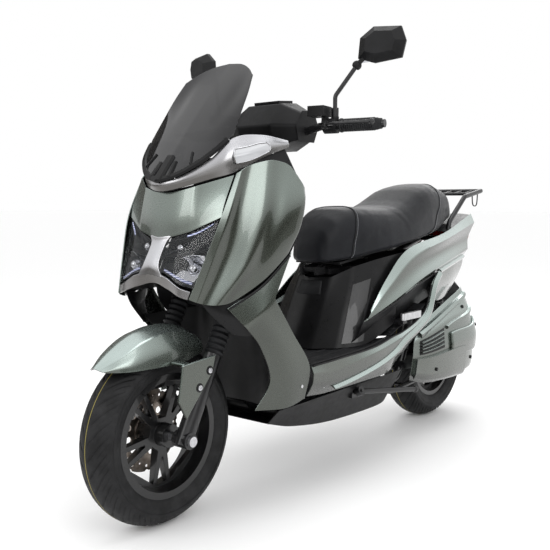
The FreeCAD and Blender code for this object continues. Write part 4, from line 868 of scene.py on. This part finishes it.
def dashWithOpening():
    verts, faces = sheetOf(dashSpec, 14)
    low, up = Vector((263, 0, 906)) * mm, Vector((-0.46947, 0, 0.88295))
    kept = []
    for face in faces:
        middle = sum((verts[n] for n in face), Vector()) / 4
        off = middle - low
        if (off - up * off.dot(up)).length > 0.047:
            kept.append(face)
    return thicken(piece("dashTop", verts, kept, plastic, "chassis", "black_plastic"), 0.0025)


def legShieldInside():
    panel("innerLegShield", innerSpec, plastic, "chassis", "black_plastic", ["inner_leg_shield"])
    dashWithOpening()
    lid = ribbonOn(innerSpec, straight((0.55, 1.0), (0.55, 2.4), 12), 0.110, 0.004, taper=0.9)
    thicken(piece("gloveBoxLid", *lid, plastic, "chassis", "black_plastic"), 0.0004, 0.0004)
    ribs = [ribbonOn(innerSpec, straight((2.2, 3 + k * 0.45), (3.7, 3 + k * 0.4), 14), 0.010, 0.003)
            for k in (-3, -2, -1, 0, 1, 2, 3)]
    piece("shieldRibs", *joinParts(ribs), plastic, "chassis", "black_plastic")


legShieldInside()

floorSpec = panelSpec([
    [(346, 0, 376), (350, 110, 376), (362, 222, 378)],
    [(200, 0, 372), (200, 110, 374), (200, 226, 382)],
    [(60, 0, 372), (60, 110, 378), (60, 224, 388)],
    [(-60, 0, 376), (-60, 110, 384), (-60, 218, 404)],
], (0, 0, 0), middle=True)
shelfSpec = panelSpec([
    [(-64, 130, 396), (-64, 216, 408)],
    [(-128, 134, 420), (-128, 212, 428)],
    [(-220, 138, 436), (-220, 206, 440)],
    [(-320, 140, 478), (-320, 196, 480)],
], (0, 0, 0))


def floorMat():
    panel("floorMat", floorSpec, ribbed, "chassis", "rubber", ["floor_board"])
    panel("rearSteps", shelfSpec, ribbed, "chassis", "rubber", both=True)
    ribs = []
    for k in range(9):
        v = 0.18 + k * 0.455
        ribs.append(ribbonOn(floorSpec, straight((0.12, v), (2.85, v), 18), 0.012, 0.0022, taper=0.5))
    for v in (0.08, 3.92):
        ribs.append(ribbonOn(floorSpec, straight((0.04, v), (2.96, v), 18), 0.008, 0.004))
    piece("matRibs", *joinParts(ribs), ribbed, "chassis", "rubber")
    stepRibs = [ribbonOn(shelfSpec, straight((u, 0.1), (u, 0.9), 6), 0.010, 0.0025)
                for u in (0.3, 0.7, 1.2, 1.6, 2.1, 2.6)]
    piece("stepRibs", *twoSides(*joinParts(stepRibs)), ribbed, "chassis", "rubber")


floorMat()

sillSpec = panelSpec([
    [(372, 234, 380), (366, 238, 360), (364, 232, 330), (370, 216, 296)],
    [(255, 236, 383), (253, 236, 352), (252, 226, 312), (255, 205, 285)],
    [(60, 232, 388), (60, 239, 372), (60, 230, 330), (60, 208, 286)],
    [(-60, 226, 404), (-62, 234, 388), (-62, 228, 350), (-64, 204, 288)],
    [(-130, 222, 412), (-132, 231, 404), (-133, 222, 374), (-136, 200, 322)],
    [(-235, 214, 436), (-238, 221, 428), (-242, 214, 404), (-250, 198, 378)],
    [(-310, 205, 468), (-314, 211, 462), (-321, 206, 443), (-330, 190, 425)],
    [(-372, 192, 545), (-380, 196, 540), (-392, 190, 526), (-402, 178, 505)],
    [(-440, 180, 582), (-446, 182, 578), (-455, 176, 568), (-462, 166, 556)],
], (-30, 0, 300), sharpCols=(1,))


def sills():
    panel("floorSills", sillSpec, paint, "chassis", "paint", ["sill_panels"], both=True)

    def bladeWidth(t):
        return 0.006 + 0.021 * math.sin(min(t * 1.6, 1.0) * math.pi / 2)

    path = straight((1.0, 2.3), (5.0, 1.62), 30) + straight((5.2, 1.6), (7.9, 1.3), 20)
    blade = ribbonOn(sillSpec, path, bladeWidth, 0.011, taper=0.35)
    thicken(piece("sillBlades", *twoSides(*blade), paint, "chassis", "paint"), 0.0004, 0.0004)
    edge = ribbonOn(sillSpec, straight((0.05, 0.0), (6.9, 0.0), 50), 0.006, 0.0025)
    piece("matEdgeTrim", *twoSides(*edge), smoothPlastic, "chassis", "black_plastic")


sills()

bellySpec = panelSpec([
    [(418, 0, 212), (418, 118, 212), (418, 160, 256)],
    [(300, 0, 180), (300, 116, 180), (300, 170, 262)],
    [(100, 0, 152), (100, 108, 152), (100, 172, 266)],
    [(-170, 0, 147), (-170, 106, 147), (-170, 170, 268)],
    [(-226, 0, 166), (-226, 106, 168), (-226, 166, 272)],
], (0, 0, 600), middle=True, sharpCols=(1,))
panel("bellyPan", bellySpec, plastic, "chassis", "black_plastic", ["belly_pan"])
print("floor and belly built")


tailCore = (-300, 0, 560)
coverSpec = panelSpec([
    [(168, 0, 377), (153, 60, 377), (108, 134, 380), (22, 186, 390), (-120, 198, 440)],
    [(104, 0, 500), (90, 60, 500), (44, 124, 512), (-40, 160, 534), (-170, 178, 560)],
    [(60, 0, 586), (44, 62, 588), (-20, 108, 620), (-112, 138, 640), (-240, 152, 655)],
], tailCore, middle=True, sharpCols=(1, 2))
flankSpec = panelSpec([
    [(60, 199, 462), (-110, 199, 500), (-310, 188, 552), (-540, 154, 588), (-790, 100, 614)],
    [(54, 206, 467), (-106, 211, 516), (-303, 201, 572), (-543, 168, 612), (-806, 112, 640)],
    [(44, 206, 476), (-101, 203, 540), (-288, 187, 604), (-547, 150, 650), (-838, 97, 684)],
    [(30, 204, 487), (-98, 200, 566), (-268, 188, 644), (-552, 160, 692), (-872, 106, 742)],
    [(20, 196, 494), (-95, 184, 586), (-250, 169, 668), (-560, 137, 710), (-893, 80, 776)],
], tailCore, sharpRows=(1, 3))
quarterSpec = panelSpec([
    [(-398, 172, 512), (-474, 150, 474), (-590, 122, 470), (-700, 99, 500), (-770, 90, 540)],
    [(-428, 175, 548), (-522, 153, 528), (-630, 128, 528), (-735, 104, 552), (-796, 93, 578)],
    [(-450, 172, 580), (-540, 153, 588), (-660, 131, 602), (-750, 110, 611), (-800, 97, 618)],
], (-450, 0, 540))
underFlankSpec = panelSpec([
    [(70, 146, 382), (-90, 140, 398), (-245, 146, 442), (-430, 150, 494)],
    [(66, 180, 420), (-100, 180, 455), (-275, 176, 500), (-455, 161, 545)],
    [(60, 197, 463), (-110, 196, 502), (-310, 185, 554), (-480, 160, 586)],
], tailCore)

lampSpec = panelSpec([
    [(-852, 0, 640), (-846, 50, 640), (-822, 92, 642)],
    [(-886, 0, 700), (-880, 50, 700), (-852, 95, 702)],
    [(-905, 0, 758), (-900, 40, 758), (-884, 72, 760)],
], tailCore, middle=True)


def tail():
    panel("underSeatCover", coverSpec, smoothPlastic, "chassis", "black_plastic", ["under_seat_cover"])
    patches = []
    for v0, v1 in ((1.15, 1.9), (6.1, 6.85)):
        patches.append(sheetOf(coverSpec, 12, 0.0012, (0.08, 1.45, v0, v1)))
    thicken(piece("carbonPatches", *joinParts(patches), carbon, "chassis", "black_plastic"), 0.0016, 0.0004)
    slots = [ribbonOn(coverSpec, straight((0.25, v), (1.15, v + s * 0.28), 10), 0.013, 0.002)
             for v, s in ((6.72, 1), (1.28, -1))]
    piece("coverVents", *joinParts(slots), ribbed, "chassis", "black_plastic")
    latch = ribbonOn(coverSpec, straight((1.62, 3.3), (1.62, 4.7), 14), 0.050, 0.0015, taper=0.85)
    piece("latchRecess", *latch, ribbed, "chassis", "black_plastic")
    panel("tailFlanks", flankSpec, paint, "chassis", "paint", ["side_panels"], both=True)
    panel("rearQuarters", quarterSpec, paint, "chassis", "paint", both=True)
    panel("underFlankPanels", underFlankSpec, plastic, "chassis", "black_plastic", both=True)
    low = ribbonOn(flankSpec, straight((0.05, 2.7), (0.05, 3.95), 30), 0.013, 0.009, taper=0.7)
    thicken(piece("flankStep", *twoSides(*low), paint, "chassis", "paint"), 0.0003, 0.0003)
    joint = ribbonOn(flankSpec, straight((0.02, 0.1), (0.02, 2.7), 30), 0.007, 0.0022, taper=0.5)
    piece("flankJoint", *twoSides(*joint), smoothPlastic, "chassis", "black_plastic")
    deckSpec = panelSpec([
        [(-600, 0, 716), (-600, 70, 718), (-600, 130, 712)],
        [(-740, 0, 742), (-740, 62, 742), (-740, 102, 738)],
        [(-880, 0, 776), (-880, 44, 776), (-886, 78, 772)],
    ], tailCore, middle=True)
    panel("tailDeck", deckSpec, smoothPlastic, "chassis", "black_plastic")
    panel("tailLamp", lampSpec, tailRed, "chassis", "tail_lens", ["tail_light"], thick=0.012)


tail()

hingeCoverRows = [
    [(-300, 150, 214), (-270, 172, 242), (-286, 172, 300), (-302, 166, 350), (-345, 150, 372)],
    [(-400, 152, 188), (-400, 178, 216), (-400, 182, 300), (-410, 173, 370), (-430, 148, 416)],
    [(-560, 150, 174), (-560, 180, 206), (-560, 184, 310), (-570, 170, 400), (-582, 140, 462)],
    [(-720, 140, 168), (-735, 166, 202), (-742, 172, 310), (-724, 158, 410), (-700, 130, 492)],
    [(-762, 124, 184), (-806, 140, 262), (-809, 136, 345), (-776, 128, 440), (-726, 124, 500)],
]
armSpec = panelSpec(hingeCoverRows, (-560, 0, 300), sharpCols=(1, 2, 3))


armRelief = {"bladeLift": 0.011, "boxLift": 0.013, "finLift": 0.010, "slatWidth": 0.007}


def armCover():
    panel("armCover", armSpec, paint, "swingarm", "paint", ["swingarm_cover"])
    width, lift = armRelief["slatWidth"], 0.008
    slats = [ribbonOn(armSpec, straight((0.42, v), (1.5, v + 0.03), 12), width, lift, taper=0.35)
             for v in (2.14, 2.32, 2.5, 2.68)]
    thicken(piece("ventSlats", *joinParts(slats), paint, "swingarm", "paint"), 0.0003, 0.0003)
    recess = sheetOf(armSpec, 12, 0.0012, (0.36, 1.58, 2.0, 2.82))
    thicken(piece("ventRecess", *recess, smoothPlastic, "swingarm", "black_plastic"), 0.001, 0.0003)
    box = sheetOf(armSpec, 12, armRelief["boxLift"], (0.1, 2.45, 0.7, 1.86))
    thicken(piece("lowerBoxCover", *box, paint, "swingarm", "paint"), armRelief["boxLift"] + 0.001, 0.005)
    rear = sheetOf(armSpec, 10, armRelief["finLift"], (1.85, 3.8, 1.6, 2.5))
    thicken(piece("rearFacet", *rear, paint, "swingarm", "paint"), armRelief["finLift"] + 0.001, 0.004)
    blade = ribbonOn(armSpec, straight((0.3, 3.3), (3.3, 3.72), 30), 0.026, armRelief["bladeLift"],
                     taper=0.45)
    thicken(piece("upperBlade", *blade, paint, "swingarm", "paint"), 0.0004, 0.0004)
    second = ribbonOn(armSpec, straight((1.7, 2.78), (3.5, 3.05), 24), 0.016, 0.008, taper=0.4)
    thicken(piece("secondBlade", *second, paint, "swingarm", "paint"), 0.0004, 0.0004)
    caps = []
    for u, v, up in ((1.1, 1.3, 0.013), (2.95, 1.3, 0.0), (2.7, 3.3, 0.0), (3.6, 2.2, 0.010)):
        out = outward(armSpec, u, v)
        caps.append(turned(onPanel(armSpec, u, v) + out * up, out,
                           [(0, 0.0065), (0.0035, 0.0065), (0.0045, 0.0055)], 20))
    piece("coverScrews", *joinParts(caps), smoothPlastic, "swingarm", "black_plastic")


armCover()
print("tail and arm cover built")


def barCover():
    middle = [(70, -34), (86, 24), (34, 88), (-44, 95), (-68, 24), (-46, -44)]
    end = [(34, -16), (44, 22), (20, 58), (-30, 60), (-48, 22), (-30, -16)]
    sides = []
    for y, ring in ((-128, end), (-60, middle), (60, middle), (128, end)):
        sides.append([barCentre + Vector((x, y, z)) * mm for x, z in ring])
    verts = [v for ring in sides for v in ring]
    faces = []
    for i in range(3):
        for j in range(6):
            k = (j + 1) % 6
            faces.append((i * 6 + j, i * 6 + k, i * 6 + 6 + k, i * 6 + 6 + j))
    faces += [tuple(range(6)), tuple(reversed(range(18, 24)))]
    obj = piece("barCover", verts, faces, plastic, "steering", "black_plastic", ["handlebar_cover"])
    bevel = obj.modifiers.new("edge", "BEVEL")
    bevel.width = 0.006
    bevel.segments = 3
    bevel.limit_method = "ANGLE"
    obj.modifiers.new("shade", "WEIGHTED_NORMAL").keep_sharp = True


def barPoint(step, side=1):
    spot = barStart + barOut * (step * mm)
    return Vector((spot.x, side * spot.y, spot.z))


gripRings = {"from": 62, "to": 168, "radius": 0.0165, "count": 15}


def grip(name, side, body, node):
    axis = (barPoint(1, side) - barPoint(0, side)).normalized()
    profile = [(0, 0.0195), (0.004, 0.0195), (0.005, gripRings["radius"])]
    span = (gripRings["to"] - gripRings["from"]) * mm - 0.012
    for k in range(gripRings["count"]):
        base = 0.007 + span * k / gripRings["count"]
        wide = span / gripRings["count"]
        profile += [(base, gripRings["radius"]), (base + wide * 0.15, gripRings["radius"] + 0.0014),
                    (base + wide * 0.6, gripRings["radius"] + 0.0014),
                    (base + wide * 0.75, gripRings["radius"])]
    total = (gripRings["to"] - gripRings["from"]) * mm
    profile += [(total, gripRings["radius"]), (total + 0.003, 0.0155), (total + 0.006, 0.0145),
                (total + 0.012, 0.0145), (total + 0.014, 0.012)]
    solid = turned(barPoint(gripRings["from"], side), axis, profile, 28)
    return piece(name, *solid, ribbed, body, "rubber", [node])


barCover()
grip("leftGrip", 1, "steering", "left_grip")
grip("rightGrip", -1, "throttle", "throttle_grip")


seatShape = {"sections": [
    (84, 46, 40, 636, 690), (66, 72, 64, 634, 735), (30, 92, 84, 636, 772), (-20, 110, 98, 640, 794),
    (-60, 122, 108, 645, 800),
    (-120, 136, 116, 654, 800), (-190, 148, 126, 663, 797), (-250, 153, 130, 671, 797), (-300, 156, 132, 679, 803),
    (-350, 155, 130, 686, 820), (-400, 150, 126, 693, 842), (-440, 146, 122, 699, 860), (-480, 142, 118, 705, 872),
    (-530, 130, 108, 712, 881), (-580, 118, 96, 719, 884), (-630, 98, 82, 728, 883), (-680, 78, 66, 737, 878),
    (-720, 68, 54, 747, 872), (-760, 58, 44, 757, 862), (-790, 44, 32, 768, 850), (-812, 28, 20, 782, 836)],
    "ring": [(0.0, 0.0), (0.55, 0.0), (0.86, 0.015), (0.97, 0.10), (1.0, 0.28), (1.0, 0.48), (0.96, 0.68), (0.87, 0.84),
             (0.70, 0.94), (0.45, 0.985), (0.2, 1.0), (0.0, 1.0)],
    "puff": 4.0, "cap": 0.006, "voxel": 0.006}


def seatRing(section):
    station, low, high, bottom, top = section
    spots = []
    for across, up in seatShape["ring"]:
        half = low * 1.02 + (high * 1.06 - low * 1.02) * up
        spots.append(Vector((station, half * across, bottom + (top - bottom) * up)) * mm)
    return spots


def seatBody():
    rings = []
    for section in seatShape["sections"]:
        half = seatRing(section)
        rings.append(half + [Vector((p.x, -p.y, p.z)) for p in reversed(half[1:-1])])
    count = len(rings[0])
    verts = [v for ring in rings for v in ring]
    faces = []
    for i in range(len(rings) - 1):
        for j in range(count):
            k = (j + 1) % count
            faces.append((i * count + j, i * count + k, (i + 1) * count + k, (i + 1) * count + j))
    faces += [tuple(reversed(range(count))), tuple(range((len(rings) - 1) * count, len(rings) * count))]
    obj = piece("saddle", verts, faces, hide, "seat", "seat", ["seat_cushion"])
    tidy = bmesh.new()
    tidy.from_mesh(obj.data)
    bmesh.ops.recalc_face_normals(tidy, faces=tidy.faces)
    tidy.to_mesh(obj.data)
    tidy.free()
    return obj


def puffUp(obj):
    bpy.ops.object.select_all(action="DESELECT")
    bpy.context.view_layer.objects.active = obj
    obj.select_set(True)
    remesh = obj.modifiers.new("voxels", "REMESH")
    remesh.mode = "VOXEL"
    remesh.voxel_size = seatShape["voxel"]
    bpy.ops.object.modifier_apply(modifier="voxels")
    relax = obj.modifiers.new("relax", "SMOOTH")
    relax.factor = 0.5
    relax.iterations = 6
    bpy.ops.object.modifier_apply(modifier="relax")
    still = [v.co.copy() for v in obj.data.vertices]
    cloth = obj.modifiers.new("padding", "CLOTH")
    cloth.settings.use_pressure = True
    cloth.settings.uniform_pressure_force = seatShape["puff"]
    cloth.settings.effector_weights.gravity = 0
    cloth.settings.quality = 5
    cloth.point_cache.frame_start = 1
    cloth.point_cache.frame_end = 20
    for step in range(1, 21):
        scene.frame_set(step)
    shaped = obj.evaluated_get(bpy.context.evaluated_depsgraph_get())
    moved = [v.co.copy() for v in shaped.data.vertices]
    obj.modifiers.remove(cloth)
    scene.frame_set(1)
    obj.modifiers.new("settle", "SMOOTH").iterations = 6
    for vert, a, b in zip(obj.data.vertices, still, moved):
        shift = b - a
        if shift.length > seatShape["cap"]:
            shift = shift.normalized() * seatShape["cap"]
        base = 0.636 + max(0.0, 0.06 - a.x) * 0.158
        hold = min(1.0, max(0.0, (a.z - base - 0.012) / 0.03))  # the lower lip stays stapled to its base
        vert.co = a + shift * hold
    obj.modifiers.new("round", "SUBSURF").levels = 1
    obj.modifiers["round"].render_levels = 1


saddle = seatBody()
puffUp(saddle)
for poly in saddle.data.polygons:
    poly.use_smooth = True
print("saddle padded")


def seatLine(station, share):
    sections = seatShape["sections"]
    for first, second in zip(sections, sections[1:]):
        if second[0] <= station <= first[0]:
            f = (first[0] - station) / (first[0] - second[0])
            section = tuple(a + (b - a) * f for a, b in zip(first, second))
            break
    else:
        section = sections[0] if station > sections[0][0] else sections[-1]
        section = (station,) + section[1:]
    ring = seatRing(section)
    return along(ring, share * (len(ring) - 1))


def seatSeams():
    tracker = bpy.data.objects["saddle"]
    bpy.context.view_layer.update()
    shaped = tracker.evaluated_get(bpy.context.evaluated_depsgraph_get())

    def land(spot):
        found = shaped.closest_point_on_mesh(spot)
        return found[1], found[2]

    seams, stitches = [], []
    runs = []
    nose = [(-10 - 88 * t ** 1.6, 0.22 + 0.78 * t) for t in [i / 30 for i in range(31)]]
    rear = [(-440 - 190 * math.sin(t * math.pi / 2), 0.24 + 0.76 * t ** 1.3)
            for t in [i / 30 for i in range(31)]]
    for line in (nose, rear):
        left = [seatLine(station, share) for station, share in line]
        right = [Vector((p.x, -p.y, p.z)) for p in reversed(left[:-1])]
        runs.append(left + right)
    for run in runs:
        spots = []
        for spot in run:
            where, normal = land(spot)
            spots.append(where + normal * 0.0006)
        seams.append(tubeAlong(spots, 0.0022, 8, 3))
        beside = []
        for i, spot in enumerate(spots):
            way = (spots[min(i + 1, len(spots) - 1)] - spots[max(i - 1, 0)]).normalized()
            where, normal = land(spot + way.cross(land(spot)[1]).normalized() * 0.007)
            beside.append(where + normal * 0.0006)
        line = [along(beside, k / 6) for k in range((len(beside) - 1) * 6 + 1)]
        for k in range(0, len(line) - 2, 3):
            stitches.append(tubeAlong([line[k], line[k + 1], line[min(k + 2, len(line) - 1)]], 0.0009, 6, 0))
    piece("saddlePiping", *joinParts(seams), ribbed, "seat", "seat")
    piece("saddleStitches", *joinParts(stitches), stitch, "seat", "seat")


seatSeams()
print("saddle sewn")


def mirrorFaces():
    for side in ("left", "right"):
        head = frame["nodes"]["mirror_head_" + side]
        facing = [p for p in head.data.polygons if (head.matrix_world.to_3x3() @ p.normal).x < -0.6]
        back = max(facing, key=lambda p: p.area)
        normal = (head.matrix_world.to_3x3() @ back.normal).normalized()
        flat = [p for p in head.data.polygons if (head.matrix_world.to_3x3() @ p.normal).dot(normal) > 0.999]
        corners = {i for p in flat for i in p.vertices}
        rim = [head.matrix_world @ head.data.vertices[i].co for i in corners]
        middle = sum(rim, Vector()) / len(rim)
        across = normal.cross(Vector((0, 0, 1))).normalized()
        rise = across.cross(normal)
        rim = sorted({(round((p - middle).dot(across), 5), round((p - middle).dot(rise), 5)) for p in rim},
                     key=lambda s: math.atan2(s[1], s[0]))
        verts = [middle + across * (a * 0.9) + rise * (b * 0.88) + normal * 0.0006 for a, b in rim]
        face = tuple(range(len(verts)))
        if (verts[1] - verts[0]).cross(verts[2] - verts[1]).dot(normal) < 0:
            face = tuple(reversed(face))
        glass = piece("mirrorGlass" + side.title(), verts, [face], glassMirror, "mirror_" + side, "reflector")
        thicken(glass, 0.0005, 0.0002)


mirrorFaces()


def rackHooks():
    wires = []
    for side in (1, -1):
        y = side * 0.1
        loop = [(-0.86, 0.850), (-0.866, 0.815), (-0.884, 0.806), (-0.902, 0.815), (-0.908, 0.856)]
        wires.append(tubeAlong([Vector((x, y, z)) for x, z in loop], 0.0025, 8))
    piece("rackHooks", *joinParts(wires), frameBlack, "chassis", "frame_black")


rackHooks()


studio = {
    "eye": (2.062, 1.490, 0.8175), "aim": (0.230, -0.009, 0.6035), "lens": 52.07,
    "floorTone": (0.985, 0.985, 0.985), "world": 1.0, "floorHalf": 70.0,
}


def backdrop():
    mat = bpy.data.materials.new("paleFloor")
    mat.use_nodes = True
    shader = mat.node_tree.nodes["Principled BSDF"]
    shader.inputs["Base Color"].default_value = (*studio["floorTone"], 1)
    shader.inputs["Roughness"].default_value = 0.85
    shader.inputs["Specular IOR Level"].default_value = 0.1
    size = studio["floorHalf"]
    mesh = bpy.data.meshes.new("studioFloor")
    corners = [(-size, -size, 0), (size, -size, 0), (size, size, 0), (-size, size, 0)]
    mesh.from_pydata(corners, [], [(0, 1, 2, 3)])
    mesh.materials.append(mat)
    floor = bpy.data.objects.new("studioFloor", mesh)
    scene.collection.objects.link(floor)


def softBox(name, place, aim, width, height, power):
    lamp = bpy.data.lights.new(name, "AREA")
    lamp.shape = "RECTANGLE"
    lamp.size = width
    lamp.size_y = height
    lamp.energy = power
    obj = bpy.data.objects.new(name, lamp)
    obj.location = place
    obj.rotation_euler = (Vector(aim) - Vector(place)).to_track_quat("-Z", "Y").to_euler()
    scene.collection.objects.link(obj)


backdrop()

def darkCard(name, low, high):  # seen only in the gloss of the paint, never by the camera
    mat = bpy.data.materials.new(name)
    mat.use_nodes = True
    mat.node_tree.nodes["Principled BSDF"].inputs["Base Color"].default_value = (0.05, 0.045, 0.035, 1)
    mesh = bpy.data.meshes.new(name)
    corners = [(low[0], low[1], low[2]), (high[0], high[1], low[2]), (high[0], high[1], high[2]),
               (low[0], low[1], high[2])]
    mesh.from_pydata(corners, [], [(0, 1, 2, 3)])
    mesh.materials.append(mat)
    obj = bpy.data.objects.new(name, mesh)
    scene.collection.objects.link(obj)
    obj.visible_camera = False
    obj.visible_shadow = False
    obj.visible_diffuse = False


softBox("keyLight", (1.6, 3.4, 2.6), (0.1, 0, 0.6), 2.6, 1.6, 32)
softBox("noseLight", (3.6, -0.6, 2.4), (0.4, 0, 0.7), 1.4, 1.6, 22)
softBox("topLight", (-0.4, 0.4, 3.6), (-0.1, 0, 0.5), 3.4, 2.0, 30)
softBox("backLight", (-3.4, -1.6, 2.4), (-0.2, 0, 0.6), 2.2, 1.8, 30)
darkCard("sideCard", (-2.6, 3.6, 0.02), (2.6, 4.4, 1.25))
darkCard("noseCard", (4.6, 2.2, 0.02), (5.0, -1.0, 0.8))
darkCard("farCard", (5.0, -1.0, 0.02), (1.2, -5.0, 1.1))
darkCard("rearCard", (0.6, -5.6, 0.02), (-5.6, -2.2, 4.6))

world = bpy.data.worlds.new("studioWorld")
world.use_nodes = True
world.node_tree.nodes["Background"].inputs["Color"].default_value = (1, 1, 1, 1)
world.node_tree.nodes["Background"].inputs["Strength"].default_value = studio["world"]
scene.world = world
scene.view_settings.view_transform = "Standard"

camera = bpy.data.objects.new("camera", bpy.data.cameras.new("camera"))
camera.data.lens = studio["lens"]
camera.data.sensor_width = 36
camera.location = studio["eye"]
camera.rotation_euler = (Vector(studio["aim"]) - Vector(studio["eye"])).to_track_quat("-Z", "Y").to_euler()
scene.collection.objects.link(camera)
scene.camera = camera


print("scene ready")
